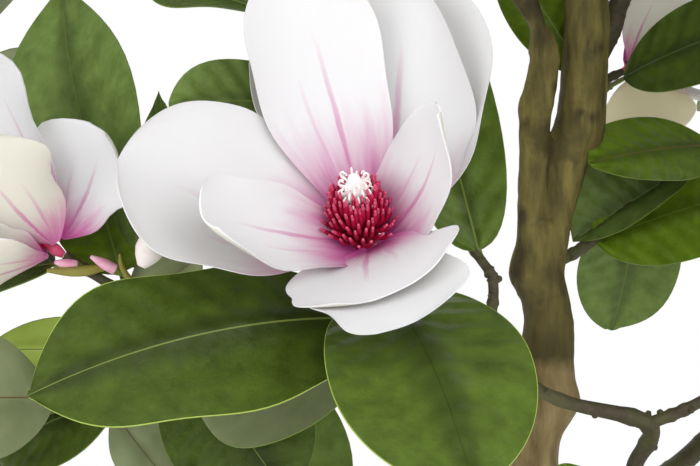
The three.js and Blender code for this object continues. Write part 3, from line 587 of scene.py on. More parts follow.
def blade_grid(blade, t, s, ripple=0, phase=0):
    """Points of a leaf or petal at rows t and columns s, and the way up at each row."""
    t = np.asarray(t, float)
    s = np.broadcast_to(s, (len(t), np.shape(s)[-1]))
    foot = np.asarray(blade["foot"], float)
    chord = np.asarray(blade["tip"], float) - foot
    ahead = unit(chord)
    face = np.asarray(blade["face"], float)
    face = unit(face - ahead * (face @ ahead))
    side = np.cross(face, ahead)
    bend = 1e-3 if abs(blade["bend"]) < 1e-3 else blade["bend"]
    arc = np.sqrt(chord @ chord) * bend / 2 / math.sin(bend / 2)
    heading = (bend / 2 - bend * t)[:, None]
    forward = arc / bend * (math.sin(bend / 2) - np.sin(heading))
    lift = arc / bend * (np.cos(heading) - math.cos(bend / 2))
    centre = foot + ahead * forward + face * lift
    above = -ahead * np.sin(heading) + face * np.cos(heading)
    half = half_width(blade, t)[:, None]
    cup = max(blade.get("cup", 0), 1e-3)
    rise = half * (1 - np.cos(cup * s)) / cup + blade.get("fold", 0) * half * np.abs(s)
    ridge, step = blade.get("midrib", (0, 0))
    rise = rise + (ridge * np.exp(-((s / 0.25) ** 2)) + step * np.tanh(s / 0.06)) * np.sin(np.pi * t[:, None])
    rise = rise + ripple * np.abs(s) ** 2.5 * np.sin(9 * t[:, None] + phase + 1.3 * np.sign(s)) * (half > 3)
    out = half * np.sin(cup * s) / cup
    skew, sweep = blade.get("lean", (0, 0))
    along = ahead * (skew * s * half)[..., None]
    out = out * (1 + blade.get("wave", 0) * np.abs(s) ** 3 * np.sin(13 * t[:, None] + phase + 2 * s))
    aside = side * (out + sweep * np.sin(np.pi * t[:, None]))[..., None]
    return centre[:, None] + along + aside + above[:, None] * rise[..., None], above


def samples_of(leaf):
    """The points of a leaf that stand for it when room is looked for."""
    rows = blade_grid(leaf, [0.3, 0.5, 0.7, 0.88], np.array([-1.0, 0.0, 1.0]))[0]
    return np.vstack([leaf["tip"], rows.reshape(-1, 3)])


class Dice:
    """The same run of numbers from 0 to 1 each time for the same seed."""

    def __init__(self, seed):
        self.state = seed

    def __call__(self):
        self.state = (self.state * 1664525 + 1013904223) & 0xFFFFFFFF
        return self.state / 4294967296


class Crowd:
    """The sampled points of every leaf so far."""

    def __init__(self):
        self.points = np.full((20000, 3), 1e6)
        self.count = 0

    def add(self, points):
        self.points[self.count : self.count + len(points)] = points
        self.count += len(points)

    def near(self, points, apart):
        taken = self.points[: self.count]
        close = taken[((taken > points.min(0) - apart) & (taken < points.max(0) + apart)).all(1)]
        return bool((((points[:, None] - close) ** 2).sum(2) < apart**2).any())


placed = Crowd()


def around_at(ahead, angle):
    """A unit vector square to a direction, turned about it by an angle."""
    first, second = square_to(ahead)
    return first * math.cos(angle) + second * math.sin(angle)


def twig_with_room(mass, along, turn, reach):
    """The first of nine lengths and turns of a twig that keeps clear of all else, if there is one."""
    start = curve(mass["stem"], along)
    ahead = heading_at(mass["stem"], along)
    for share, shift in SHAPES:
        out = around_at(ahead, turn + shift)
        heading = unit(ahead * 0.3 + out * 0.95 + UP * 0.1)
        length = reach * share
        middle = start + heading * 0.55 * length
        points = [start, middle, middle + heading * 0.45 * length + UP * 0.12 * length]
        if free(curve(points, np.array([0.5, 0.75, 1.0])), mass):
            return points
    return None


def leaf_with_room(twig, along, around, long, bend, opening, mass, apart=17):
    """The first of nine lengths and turns of a leaf that has room, which it then takes, if there is one."""
    foot = curve(twig, min(along, 0.985))
    ahead = heading_at(twig, along)
    for share, shift in SHAPES:
        out = around_at(ahead, around + shift)
        heading = unit(ahead * math.cos(opening) + out * math.sin(opening) + UP * 0.18)
        face = unit(ahead * math.sin(opening) - out * math.cos(opening) + UP * 0.9)
        length = long * share
        leaf = {"foot": foot, "tip": foot + heading * length, "face": face, "width": length * 0.5}
        leaf.update(bend=bend, fold=0.12, outline=LEAF_OUTLINE)
        points = samples_of(leaf)
        if free(points, mass) and not placed.near(points, apart):
            placed.add(points)
            return leaf
    return None


def between(span, share):
    """The number at a share of the way from the first end of a span to its last."""
    return span[0] + (span[1] - span[0]) * share


for mass in MASSES:
    roll = Dice(mass["seed"])
    mass["twigs"] = []
    mass["leaves"] = []
    for k in range(TWIGS):
        along = 0.25 + 0.5 * k / (TWIGS - 1)
        turn = mass["seed"] + k * GOLDEN + 0.6 * roll()
        reach = mass["room"] * (0.42 + 0.24 * roll())
        twig = twig_with_room(mass, along, turn, reach)
        if twig:
            mass["twigs"].append(twig)
        for j in range(LEAVES):
            around = j * GOLDEN + mass["seed"] + k + 0.7 * roll()
            long = between(LEAF_LENGTH, roll())
            bend = 0.3 + 0.5 * roll()
            opening = 1.15 - 0.17 * j + 0.25 * roll()
            along = 0.3 + 0.7 * j / (LEAVES - 1)
            leaf = twig and leaf_with_room(twig, along, around, long, bend, opening, mass)
            if leaf:
                mass["leaves"].append(leaf)

# The finer growth that the plain rule leaves out: short side shoots on each twig with young leaves, and a few
# leaves close under each bloom.
for mass in MASSES:
    roll = Dice(mass["seed"] + 1000)
    mass["shoots"] = []
    mass["young"] = []
    for k, twig in enumerate(mass["twigs"] + [mass["stem"]] * 2):
        for n in range(SHOOTS):
            along = 0.35 + 0.25 * n + 0.1 * roll()
            angle = GOLDEN * (2 * k + n) + 6 * roll()
            start = curve(twig, along)
            ahead = heading_at(twig, along)
            heading = unit(ahead * 0.7 + around_at(ahead, angle) * 0.8 + UP * 0.15)
            reach = between(SHOOT_LENGTH, roll())
            shoot = [start, start + heading * 0.6 * reach, start + heading * reach + UP * 0.1 * reach]
            grown = []
            for j in range(YOUNG_LEAVES):
                around = j * GOLDEN + k + n + roll()
                long = between(YOUNG_LENGTH, roll())
                bend = 0.2 + 0.5 * roll()
                opening = 1.1 - 0.2 * j
                leaf = leaf_with_room(shoot, 0.45 + 0.18 * j, around, long, bend, opening, mass, 14)
                if leaf:
                    grown.append(leaf)
            if grown:
                mass["shoots"].append(shoot)
                mass["young"].extend(grown)

LEAF_SCAR_PITCH = 19
parts = []
for radii, points in FRONT_TWIGS.values():
    span = length_of(points)
    parts.append(tube(points, radii, 14, int(span / 2.5), relief=scars(span, 16, 0.7, len(parts))))
    for k in range(int(span / LEAF_SCAR_PITCH)):
        along = (k + 0.6) * LEAF_SCAR_PITCH / span
        start = curve(points, along)
        out = around_at(heading_at(points, along), k * GOLDEN + 1)
        reach = list_value(radii, along) + 1.6 + math.sin(3 * k)
        parts.append(tube([start, start + out * reach * 0.6, start + out * reach], [2.4, 2.1, 1.2], 8, 4))
for mass in MASSES:
    span = length_of(mass["stem"])
    parts.append(tube(mass["stem"], MASS_STEM, 9, int(span / 5), relief=scars(span, 22, 0.5, mass["seed"])))
    for twig in mass["twigs"]:
        span = length_of(twig)
        parts.append(tube(twig, TWIG, 8, int(span / 6), relief=scars(span, 20, 0.5, len(parts))))
    for shoot in mass["shoots"]:
        parts.append(tube(shoot, [1.6, 1.4, 1.2], 6, 6))
twigs = build("twigs_bark", parts, [young_bark], sharp=60)
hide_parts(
    "mass_front", "mass_trunk_right", "mass_stem_right", *["mass_" + mass["name"] for mass in MASSES]
)

# Leaves: broad, stiff leaf cloth, pressed over a wired midrib, dipped in wax and printed. Each has a round
# stalk, a paler midrib and rim, a softly shining upper side and a dull grey-green underside with a brown rib.
LEAF_KEYS = ("twig", "along", "tip", "width", "face", "bend", "fold", "tone", "outline", "lean")
FRONT_LEAVES = [
    ("main", 0.71, [-265, -300, 882], 86, [0.12, -0.7, 0.7], 0.75, 0.0, 0, (0.08, 0.5, 0.5), (-0.16, 0)),
    ("main", 0.79, [-62, -395, 855], 96, [0.1, -0.5, 0.86], 0.5, 0.05, 1, (0.05, 0.4, 0.4), (-0.28, 0)),
    ("rear", 0.47, [-92, -212, 1102], 52, [-0.05, -0.95, 0.05], 0.25, 0.2, 1, (0.03, 0.45, 0.6)),
    ("rear", 0.78, [-204.8, -225, 1016], 46, [0.15, -0.85, 0.5], 0.5, 0.1, 3, (0.12, 0.6, 0.35)),
    ("rear", 0.97, [-218, -170, 1073], 50, [0.3, -0.4, 0.9], 0.3, 0.1, 1),
    ("rear", 0.97, [-112, -95, 1118], 60, [0.1, -0.4, 0.9], 0.4, 0.1, 2),
    ("main", 0.71, [-192.5, -215, 865], 84, [-0.3, 0.5, -0.7], 0.3, 0.1, 0),
    ("west", 0.6, [-145, -215, 817], 76, [-0.1, -0.9, 0.3], 0.3, 0.1, 0),
    ("west", 0.55, [-124, -160, 789], 78, [0.4, -0.8, 0.2], 0.3, 0.1, 1),
    ("west", 0.6, [-272, -100, 1083], 90, [-0.6, -0.75, 0.2], 0.6, 0.2, 3, (0.12, 1.2, 1.2), (0.3, 0)),
    ("west", 0.6, [-217, -136, 1023], 34, [0.1, -0.9, 0.2], 0.3, 0.1, 3, (0.12, 0.72, 1.1)),
    ("west", 0.85, [-331, -130, 903], 56, [-0.3, -0.45, 0.85], 0.4, 0.1, 0),
    ("west", 0.66, [-257, -140, 1004], 56, [-0.2, -0.8, 0.5], 0.4, 0.1, 2, (0.12, 0.5, 0.6)),
    ("west", 0.667, [-187, -231, 943], 66, [0.2, 0.7, -0.5], 0.3, 0.1, 3, (0.06, 0.5, 0.5)),
    ("main", 0.05, [-16, -225, 830], 20, [0, -0.5, 0.85], 0.3, 0.1, 2, (0.1, 0.5, 0.5)),
    # This small leaf takes the lime print all over: partly its own lime, partly painted light coming through
    # it.
    ("low", 0.2, [-312, -160, 885], 40, [-0.1, -0.7, 0.6], 0.4, 0.1, 4, (0.05, 0.5, 0.6)),
    ("low", 0.97, [-336, -240, 872], 66, [-0.5, 0.75, -0.3], -0.3, -0.1, 1),
    ("low", 0.5, [-304, -150, 831], 60, [0.1, -0.7, 0.6], 0.3, 0.1, 0),
    ("low", 0.75, [-207, -140, 806], 34, [-0.2, 0.9, -0.3], 0.3, 0.1, 0),
    ("low", 0.55, [-328, -115, 861], 66, [-0.2, -0.5, 0.8], 0.4, 0.1, 3, (0.1, 0.6, 0.85)),
    ("east", 0.97, [185, -260, 950], 62, [-0.2, -0.6, 0.8], 0.4, 0.1, 1),
    ("east", 0.97, [150, -175, 975], 58, [-0.4, -0.3, 0.8], 0.4, 0.1, 0),
    ("east", 0.75, [150, -300, 868], 62, [-0.1, -0.5, 0.9], 0.4, 0.1, 2),
    ("east", 0.8, [165, -160, 860], 60, [-0.1, -0.3, 0.9], 0.5, 0.1, 1),
    ("main", 0.1, [60, -330, 790], 60, [0.2, -0.3, 0.8], 0.4, 0.1, 2),
    ("main", 0.12, [85, -130, 790], 58, [0.2, 0.3, 0.8], 0.4, 0.1, 0),
]
RIGHT_LEAVES = [
    ("trunk", 0.75, [25.3, -12, 979], 62, [0.1, -0.6, 0.8], 0.15, 0.1, 2),
    ("trunk", 0.68, [20, 22, 930], 56, [0, -0.7, 0.7], 0.1, 0.9, 3),
    ("trunk", 0.26, [152, 50, 964], 70, [-0.1, -0.85, 0.5], 0.3, 0.1, 2, (0.04, 0.5, 0.6)),
    ("trunk", 0.5, [50, 75, 870], 64, [0.1, -0.95, 0.25], 0.3, 0.2, 3, (0.1, 0.35, 0.6)),
    ("trunk", 0.97, [262, 78, 960], 62, [-0.1, -0.5, 0.8], 0.5, 0.1, 1),
    ("trunk", 0.85, [185, 148, 1012], 60, [-0.1, -0.1, 0.95], 0.5, 0.1, 0),
    ("trunk", 0.6, [128, 160, 950], 56, [0, -0.4, 0.9], 0.4, 0.1, 1),
    ("trunk", 0.97, [222, -20, 1050], 56, [-0.5, -0.3, 0.8], 0.4, 0.1, 2),
    ("stem", 0.3, [142, -30, 1066], 66, [-0.2, -0.8, 0.6], 0.4, 0.1, 0),
    ("stem", 0.12, [-20, 45, 1101], 50, [0.2, -0.8, 0.3], 0.3, 0.1, 2),
]

# Waxed leaf cloth, upper side: printed in four greens, one to a leaf. It shines softly, with a finely mottled
# print and painted shade along the rib, and is puckered a little between its side veins.
SIDE_VEINS = 10
upper_sides = []
for shade_name, rib_shade_green, dark_green, light_green in [
    ("waxed leaf cloth, deep green", "#232d0c", "#2e3d0b", "#4c601c"),
    ("waxed leaf cloth, mid green", "#2c3814", "#3b4d17", "#5d742a"),
    ("waxed leaf cloth, spring green", "#35450c", "#48600c", "#6c881a"),
    ("waxed leaf cloth, pale green", "#3c4a20", "#4c6027", "#748c46"),
]:
    material, tree, shader = new_material(shade_name, dark_green, 0.42, 1.5, 0.16)
    place = add_node(tree, "TexCoord", {})["Object"]
    print_mottle = add_node(
        tree, "TexNoise", {"Vector": place, "Scale": 1 / (14 * MM), "Detail": 6.0, "Roughness": 0.62}
    )["Fac"]
    share = add_node(tree, "MapRange", [print_mottle, 0.24, 0.8, 0.0, 1.0])[0]
    green = add_node(tree, "Mix", {0: share, 6: dark_green, 7: light_green}, data_type="RGBA")[2]
    blade_map = add_node(tree, "UVMap", {}, uv_map="blade")[0]
    cross = add_node(tree, "SeparateXYZ", [blade_map])
    outwards = add_node(tree, "Math", [cross["X"]], operation="ABSOLUTE")[0]
    # Painted shade along the midrib: the green darkens towards a deeper green near the rib, for the fold's
    # shade.
    rib_shade_share = add_node(
        tree, "MapRange", [outwards, 0.06, 0.34, 0.6, 0.0], interpolation_type="SMOOTHSTEP"
    )[0]
    shaded_green = add_node(tree, "Mix", {0: rib_shade_share, 6: green, 7: rib_shade_green}, data_type="RGBA")[2]
    tree.links.new(shaded_green, shader.inputs["Base Color"])
    slant = add_node(tree, "Math", [outwards, -0.13, cross["Y"]], operation="MULTIPLY_ADD")[0]
    uneven = add_node(tree, "Math", [share, 0.05, slant], operation="MULTIPLY_ADD")[0]
    bands = add_node(tree, "Math", [uneven, 2 * np.pi * SIDE_VEINS], operation="MULTIPLY")[0]
    wave = add_node(tree, "Math", [bands], operation="COSINE")[0]
    puckers = add_node(tree, "Bump", {"Strength": 0.5, "Distance": 0.8 * MM, "Height": wave})["Normal"]
    tree.links.new(puckers, shader.inputs["Normal"])
    upper_sides.append(material)

# The prints along a leaf: bright lime on the rims of the two big front leaves and all over one small low
# leaf, there partly its own lime and partly painted light through the cloth; a soft yellow green on the rib
# of one big leaf, and a duller green on most rims and ribs, all under one wax.
edge_prints = []
for print_name, faint, strong in [
    ("lime rim print", "#85993c", "#aabd5e"),
    ("green rim print", "#4f6022", "#6f8238"),
    ("midrib print", "#56642a", "#7b893f"),
]:
    edge_prints.append(two_toned(print_name, strong, faint, strong, 20, 3.0, 0.42, 1.5, 0.22)[0])

# Leaf cloth, underside: left without wax and print. It is dull and grey green in soft clouds, with the weave
# just felt.
underside, tree, shader = two_toned("bare leaf cloth", "#79835c", "#656f45", "#8d9770", 15, 4.0, 0.62)
place = add_node(tree, "TexCoord", {})["Object"]
weave = add_node(tree, "TexNoise", {"Vector": place, "Scale": 1 / (0.9 * MM), "Detail": 2.0})["Fac"]
felt = add_node(tree, "Bump", {"Strength": 0.3, "Distance": 0.2 * MM, "Height": weave})["Normal"]
tree.links.new(felt, shader.inputs["Normal"])

# Ribs and stalks: moulded plastic over wire, half gloss. The rib under a leaf is a faded red brown, and the
# stalk turns from brown to green.
brown_rib = two_toned("red-brown rib plastic", "#64442a", "#553722", "#786038", 20, 3.0, 0.45, 1.46)[0]
stalk_skin = two_toned("green-brown stalk plastic", "#5f5e2c", "#514625", "#6f7634", 18, 3.0, 0.48, 1.46)[0]
LEAF_LOOKS = [*upper_sides, *edge_prints, underside, brown_rib, stalk_skin]
DEEP_GREEN = 0
LIME_RIM, GREEN_RIM, MIDRIB, UNDERSIDE, BROWN_RIB, STALK_SKIN = range(4, 10)


def shell(top, under, uv, top_looks, under_looks, rim_look):
    """A closed thin sheet between two grids of points."""
    n, m = top.shape[:2]
    index = np.arange(n * m).reshape(n, m)
    a = index[:-1, :-1].ravel()
    b = index[:-1, 1:].ravel()
    c = index[1:, 1:].ravel()
    d = index[1:, :-1].ravel()
    edge = np.concatenate([index[0, :-1], index[:-1, -1], index[-1, :0:-1], index[:0:-1, 0]])
    after = np.roll(edge, -1)
    low = n * m
    upper = np.stack([a, b, c, d], 1)
    side = np.stack([edge, edge + low, after + low, after], 1)
    quads = np.concatenate([upper, upper[:, ::-1] + low, side])
    return {
        "verts": np.concatenate([top.reshape(-1, 3), under.reshape(-1, 3)]),
        "quads": quads,
        "caps": [],
        "looks": np.concatenate([top_looks.ravel(), under_looks.ravel(), np.full(len(edge), rim_look)]),
        "cap_looks": [],
        "uv": np.concatenate([uv.reshape(-1, 2), uv.reshape(-1, 2)]),
    }


MIDRIB_HALF = 0.5
RIM_WIDTH = 0.35
CLOTH_HALF = 0.3


def leaf_part(leaf, rows, strips, tone, phase, ripple=1.6, rim_look=GREEN_RIM, rib_look=GREEN_RIM):
    """A leaf: strips of cloth each side of a midrib, a rim, and a stalk as round as it is wide."""
    leaf = {**leaf, "point": 0.07}
    stalk = leaf["outline"][0]
    blade_rows = stalk + (0.997 - stalk) * (0.5 - 0.5 * np.cos(np.pi * np.linspace(0.03, 1, rows)))
    t = np.concatenate([[0.0, stalk * 0.5, stalk * 0.98], blade_rows])
    half = half_width(leaf, t)
    mid = np.minimum((MIDRIB_HALF - 0.35 * t) / half, 0.3)[:, None]
    rim = np.minimum(RIM_WIDTH / half, 0.25)[:, None]
    share = np.linspace(0, 1, strips + 1)
    right = mid + (1 - rim - mid) * share
    s = np.concatenate([-np.ones_like(mid), -right[:, ::-1], right, np.ones_like(mid)], 1)
    grid, above = blade_grid(leaf, t, s, ripple, phase)
    bare = t < stalk
    middle_bump = np.exp(-((s / (2.2 * mid)) ** 2))
    thick = CLOTH_HALF + np.where(bare[:, None], 0.9, 0.5 * middle_bump * (1 - 0.7 * t[:, None]))
    top = grid + above[:, None] * (CLOTH_HALF - 0.12 * middle_bump)[..., None]
    under = grid - above[:, None] * thick[..., None]
    uv = np.stack([s, np.broadcast_to(t[:, None], s.shape)], -1)
    look = [rim_look] + [tone] * strips + [rib_look] + [tone] * strips + [rim_look]
    dull = [UNDERSIDE] * (strips + 1)
    below = dull + [BROWN_RIB] + dull
    top_looks = np.tile(look, (len(t) - 1, 1))
    under_looks = np.tile(below, (len(t) - 1, 1))
    top_looks[:3] = STALK_SKIN
    under_looks[:3] = STALK_SKIN
    return shell(top, under, uv, top_looks, under_looks, rim_look)


def leaf_of(row):
    """A leaf that is set at a place along one of the front twigs."""
    leaf = {"outline": LEAF_OUTLINE, "midrib": (2, -0.7), **dict(zip(LEAF_KEYS, row))}
    return {**leaf, "foot": curve(FRONT_TWIGS[leaf["twig"]][1], leaf["along"])}


for name, row, phase, ripple, midrib, wave, rib_look in [
    ("leaf_front_left", FRONT_LEAVES[0], 2.94, 3.0, (4, -1.5), -0.08, MIDRIB),
    ("leaf_front_right", FRONT_LEAVES[1], 1.0, 1.6, (4.5, 1.6), 0, DEEP_GREEN),
]:
    leaf = {**leaf_of(row), "midrib": midrib, "wave": wave}
    part = leaf_part(leaf, 44, 20, leaf["tone"], phase, ripple, LIME_RIM, rib_look)
    piece = build(name, [part], LEAF_LOOKS)
    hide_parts("mass_front")

for name, rows, turn, masses in [
    ("leaves_front", FRONT_LEAVES[2:], 1.7, ["mass_front"]),
    ("leaves_right", RIGHT_LEAVES, 2.1, ["mass_trunk_right", "mass_stem_right"]),
]:
    parts = []
    for k, row in enumerate(rows):
        leaf = leaf_of(row)
        rib_look = BROWN_RIB if row is RIGHT_LEAVES[0] else GREEN_RIM
        parts.append(leaf_part(leaf, 26, 10, leaf["tone"], k * turn, rib_look=rib_look))
    piece = build(name, parts, LEAF_LOOKS)
    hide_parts(*masses)

# The leaves of the sprays, made like the others but plainer: those of the twigs and the young ones on the
# side shoots, joined for each level of the crown.
for level in ("low", "mid", "high"):
    starts = ("high", "top") if level == "high" else (level,)
    group = [mass for mass in MASSES if mass["name"].startswith(starts)]
    parts = []
    for mass in group:
        for k, leaf in enumerate(mass["leaves"]):
            parts.append(leaf_part(leaf, 12, 4, (k // 5 + mass["seed"]) % 4, k * 1.9))
        for k, leaf in enumerate(mass["young"]):
            parts.append(leaf_part(leaf, 8, 3, 1 + (k // 3) % 3, k * 1.3, 0.8))
    piece = build("leaves_" + level, parts, LEAF_LOOKS)
    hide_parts(*["mass_" + mass["name"] for mass in group])

# Petals: six to nine to a bloom, in whorls, moulded from soft film, thin, cupped and a little crumpled at the
# rim. Magenta is sprayed on at the foot and brushed along the middle.
WHORLS = [
    (3, 1.15, 94, 66, -0.5, 0.4),
    (3, 0.68, 88, 52, -0.8, 0.6),
    (3, 0.32, 74, 44, -0.8, 0.8),
]
PETAL_OUTLINE = (0.04, 0.72, 0.4)
PETAL_KEYS = ("tip", "width", "face", "bend", "cup", "outline", "lean", "bare", "wave")
HAND_PETALS = {
    "bloom_front": [
        ([-144, -272, 1082], 68, [0.1, -0.95, 0.2], -0.45, 0.5),
        ([-92, -258, 1082], 94, [-0.3, -0.93, 0.1], -0.4, 0.5, (0.04, 0.6, 0.55), (0.3, 0)),
        ([-66, -258, 1073], 78, [-0.42, -0.9, 0.1], -0.4, 0.5, (0.04, 0.6, 0.45), (0.2, 0)),
        ([-75, -322, 1017], 48, [-0.52, -0.82, 0.25], -0.6, 0.5, (0.04, 0.32, 0.6), (0, -4)),
        ([-221, -300, 995], 103, [0.35, -0.75, 0.55], -0.5, 0.8, (0.04, 0.72, 0.4), (0.22, 9)),
        ([-181, -345, 970], 49, [0.55, -0.62, 0.5], -0.5, 0.8, (0.04, 0.35, 0.22)),
        ([-102, -335, 931], 84, [-0.34, -0.28, 0.87], 0.35, 0.35, (0.04, 0.7, 0.28), (0, 0), 0, -0.07),
        ([-92, -350, 920], 68, [-0.3, -0.3, 0.9], 0.3, 0.3, (0.04, 0.7, 0.33), (0, 0), 0, 0.12),
        ([-150, -222, 1062], 60, [0.3, -0.9, 0.2], -0.4, 0.5),
    ],
    "bloom_left": [
        ([-239.6, -215, 1004.5], 74, [-0.5, -0.75, 0.3], -0.5, 0.4),
        ([-298, -250, 996], 54, [-0.5, 0.4, 0.8], -0.5, 0.5),
        ([-308, -190, 1043.6], 44, [-0.6, -0.7, 0.1], -0.5, 0.5),
        ([-318, -256, 930], 42, [-0.1, 0.75, 0.66], -0.3, 0.4),
        ([-322, -234, 950], 40, [0.1, 0.7, 0.7], -0.3, 0.4),
        ([-340, -120, 1003], 60, [-0.2, -0.8, 0.5], -0.5, 0.4),
        ([-352, -180, 966], 58, [-0.3, -0.2, 0.9], -0.5, 0.4),
    ],
    "bloom_right": [
        ([140, 110, 1012], 60, [-0.2, -0.3, 0.95], -0.4, 0.4),
        ([110, 118, 1100.6], 60, [0.6, -0.7, -0.2], -0.5, 0.4),
        ([150, 150, 1050], 60, [-0.4, -0.3, 0.9], -0.5, 0.4),
        ([80, 50, 1089], 38, [0.5, 0.8, 0.3], -0.3, 0.4),
        ([112, 168, 1076], 56, [0.4, -0.8, 0.1], -0.5, 0.4),
        ([76, 56, 990], 62, [-0.1, 0.9, -0.2], -0.2, 0.2, (0.04, 0.6, 0.35), (0, 0), 0.55),
    ],
}
PETAL_WAVE = 0.04
CRUMPLED_WAVE = 0.13


def petals_of(name, foot, axis, turn):
    """The petals of a bloom: those listed, or else three whorls of three."""
    made = []
    for row in HAND_PETALS.get(name, []):
        petal = {"wave": PETAL_WAVE, **dict(zip(PETAL_KEYS, row))}
        out = np.array(petal["tip"], float) - (foot + axis * 60)
        away = unit(out - axis * (out @ axis))
        petal["foot"] = foot + axis * 5 + away * 4
        if name == "bloom_left":
            petal["wave"] = CRUMPLED_WAVE
        made.append(petal)
    for w, (count, opening, length, width, bend, cup) in enumerate([] if made else WHORLS):
        for k in range(count):
            away = around_at(axis, turn + w * 1.05 + k * 2 * math.pi / count)
            start = foot + axis * (4 + 2 * w) + away * 4
            tip = start + (axis * math.cos(opening) + away * math.sin(opening)) * length
            face = axis * math.sin(opening) - away * math.cos(opening)
            petal = {"foot": start, "tip": tip, "width": width, "face": face, "bend": bend, "cup": cup}
            made.append({**petal, "wave": PETAL_WAVE})
    return made


# Satin petal film: near-white inside, creamier outside, and a brighter cream on one petal in a leaf's shade,
# partly its own cream and partly painted light. It is soft and lets some light through; its magenta is
# strongest at the foot, with one long streak and shorter ones beside it.
STREAKS = 2.6
petal_sides = []
for side_name, film, reach_of_flush, strength in [
    ("satin petal film, inside", "#d8d7d9", 0.5, 0.95),
    ("satin petal film, outside", "#cdcabf", 0.42, 0.8),
    ("satin petal film, cream painted lighter", "#f2e7c6", 0.42, 0.8),
]:
    material, tree, shader = new_material(side_name, film, 0.5, specular=0.25)
    shader.inputs["Subsurface Weight"].default_value = 0.2
    shader.inputs["Subsurface Radius"].default_value = (1.0, 0.8, 0.75)
    shader.inputs["Subsurface Scale"].default_value = 3 * MM
    blade_map = add_node(tree, "UVMap", {}, uv_map="blade")[0]
    cross = add_node(tree, "SeparateXYZ", [blade_map])
    stretched = add_node(tree, "Mapping", {"Vector": blade_map, "Scale": (2.2, 1.4, 1.0)})[0]
    clouds = add_node(tree, "TexNoise", {"Vector": stretched, "Scale": 2.0, "Detail": 4.0})["Fac"]
    frayed = add_node(tree, "Math", [clouds, 0.3, cross["Y"]], operation="MULTIPLY_ADD")[0]
    fading = [frayed, 0.2, 0.15 + reach_of_flush, strength, 0.0]
    flush = add_node(tree, "MapRange", fading, interpolation_type="SMOOTHSTEP")[0]
    outwards = add_node(tree, "Math", [cross["X"]], operation="ABSOLUTE")[0]
    sway = add_node(tree, "Math", [clouds, 0.2, cross["X"]], operation="MULTIPLY_ADD")[0]
    fan = add_node(tree, "Math", [sway, 2 * np.pi * STREAKS], operation="MULTIPLY")[0]
    crests = add_node(tree, "Math", [fan], operation="COSINE")[0]
    thin = add_node(tree, "MapRange", [crests, 0.62, 1.0, 0.0, 1.0], interpolation_type="SMOOTHSTEP")[0]
    shorter = add_node(tree, "Math", [outwards, 0.7, cross["Y"]], operation="MULTIPLY_ADD")[0]
    up_to = add_node(tree, "MapRange", [shorter, 0.2, 0.82, 0.95, 0.0])[0]
    streak = add_node(tree, "Math", [thin, up_to], operation="MULTIPLY")[0]
    pink_share = add_node(tree, "Math", [flush, streak], operation="MAXIMUM")[0]
    painted = add_node(tree, "Mix", {0: pink_share, 6: film, 7: "#b8318c"}, data_type="RGBA")[2]
    tree.links.new(painted, shader.inputs["Base Color"])
    creases = add_node(tree, "Bump", {"Strength": 0.2, "Distance": 0.8 * MM, "Height": clouds})["Normal"]
    tree.links.new(creases, shader.inputs["Normal"])
    petal_sides.append(material)


INSIDE, OUTSIDE, LIT_CREAM = range(3)
FILM_HALF = 0.45


def petal_part(petal, rows, columns, phase, ripple):
    """A petal of thin film; a bare one starts its colours further up, past the magenta."""
    t = 0.04 + (0.995 - 0.04) * (0.5 - 0.5 * np.cos(np.pi * np.linspace(0, 1, rows)))
    s = np.sin(np.linspace(-np.pi / 2, np.pi / 2, columns))
    grid, above = blade_grid({"outline": PETAL_OUTLINE, **petal}, t, s, ripple, phase)
    top = grid + above[:, None] * FILM_HALF
    under = grid - above[:, None] * FILM_HALF
    across = np.broadcast_to(s, grid.shape[:2])
    uv = np.stack([across, np.broadcast_to(t[:, None] + petal.get("bare", 0), across.shape)], -1)
    inside = np.full((rows - 1, columns - 1), INSIDE)
    # A bare petal's outside takes the brighter cream film: its own cream, lightened as painted light on a
    # petal in shade.
    outside = inside + (LIT_CREAM if petal.get("bare") else OUTSIDE)
    return shell(top, under, uv, inside, outside, INSIDE)


for n, (name, (foot, axis)) in enumerate(seats.items()):
    turn = {"bloom_" + mass["name"]: mass["seed"] for mass in MASSES}.get(name, 0)
    rows, columns = (48, 27) if name == "bloom_front" else (20, 11)
    ripple = 3 if name == "bloom_left" else 2
    parts = []
    for k, petal in enumerate(petals_of(name, foot, axis, turn)):
        parts.append(petal_part(petal, rows, columns, n + 2.1 * k, ripple))
    piece = build(name.replace("bloom", "petals"), parts, petal_sides, sharp=60)
    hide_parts(name)

# Stamens and pistil: a moulded plastic heart in each bloom. Crimson fingers with paler tips stand round a
# white cone whose styles curl over. The plastic is softly mottled, and a touch of light passes through it.
heart_looks = []
for plastic_name, dark, pale in [
    ("crimson moulded plastic", "#9a0a32", "#bd1b47"),
    ("pink-tipped crimson plastic", "#c23a62", "#d8607f"),
    ("white moulded plastic", "#eddcde", "#f8f3f0"),
]:
    material, tree, shader = two_toned(plastic_name, pale, dark, pale, 4, 2.0, 0.38, 1.46, 0.3)
    shader.inputs["Subsurface Weight"].default_value = 0.1
    shader.inputs["Subsurface Scale"].default_value = 2 * MM
    heart_looks.append(material)
CRIMSON, PINK_TIP, WHITE = range(3)


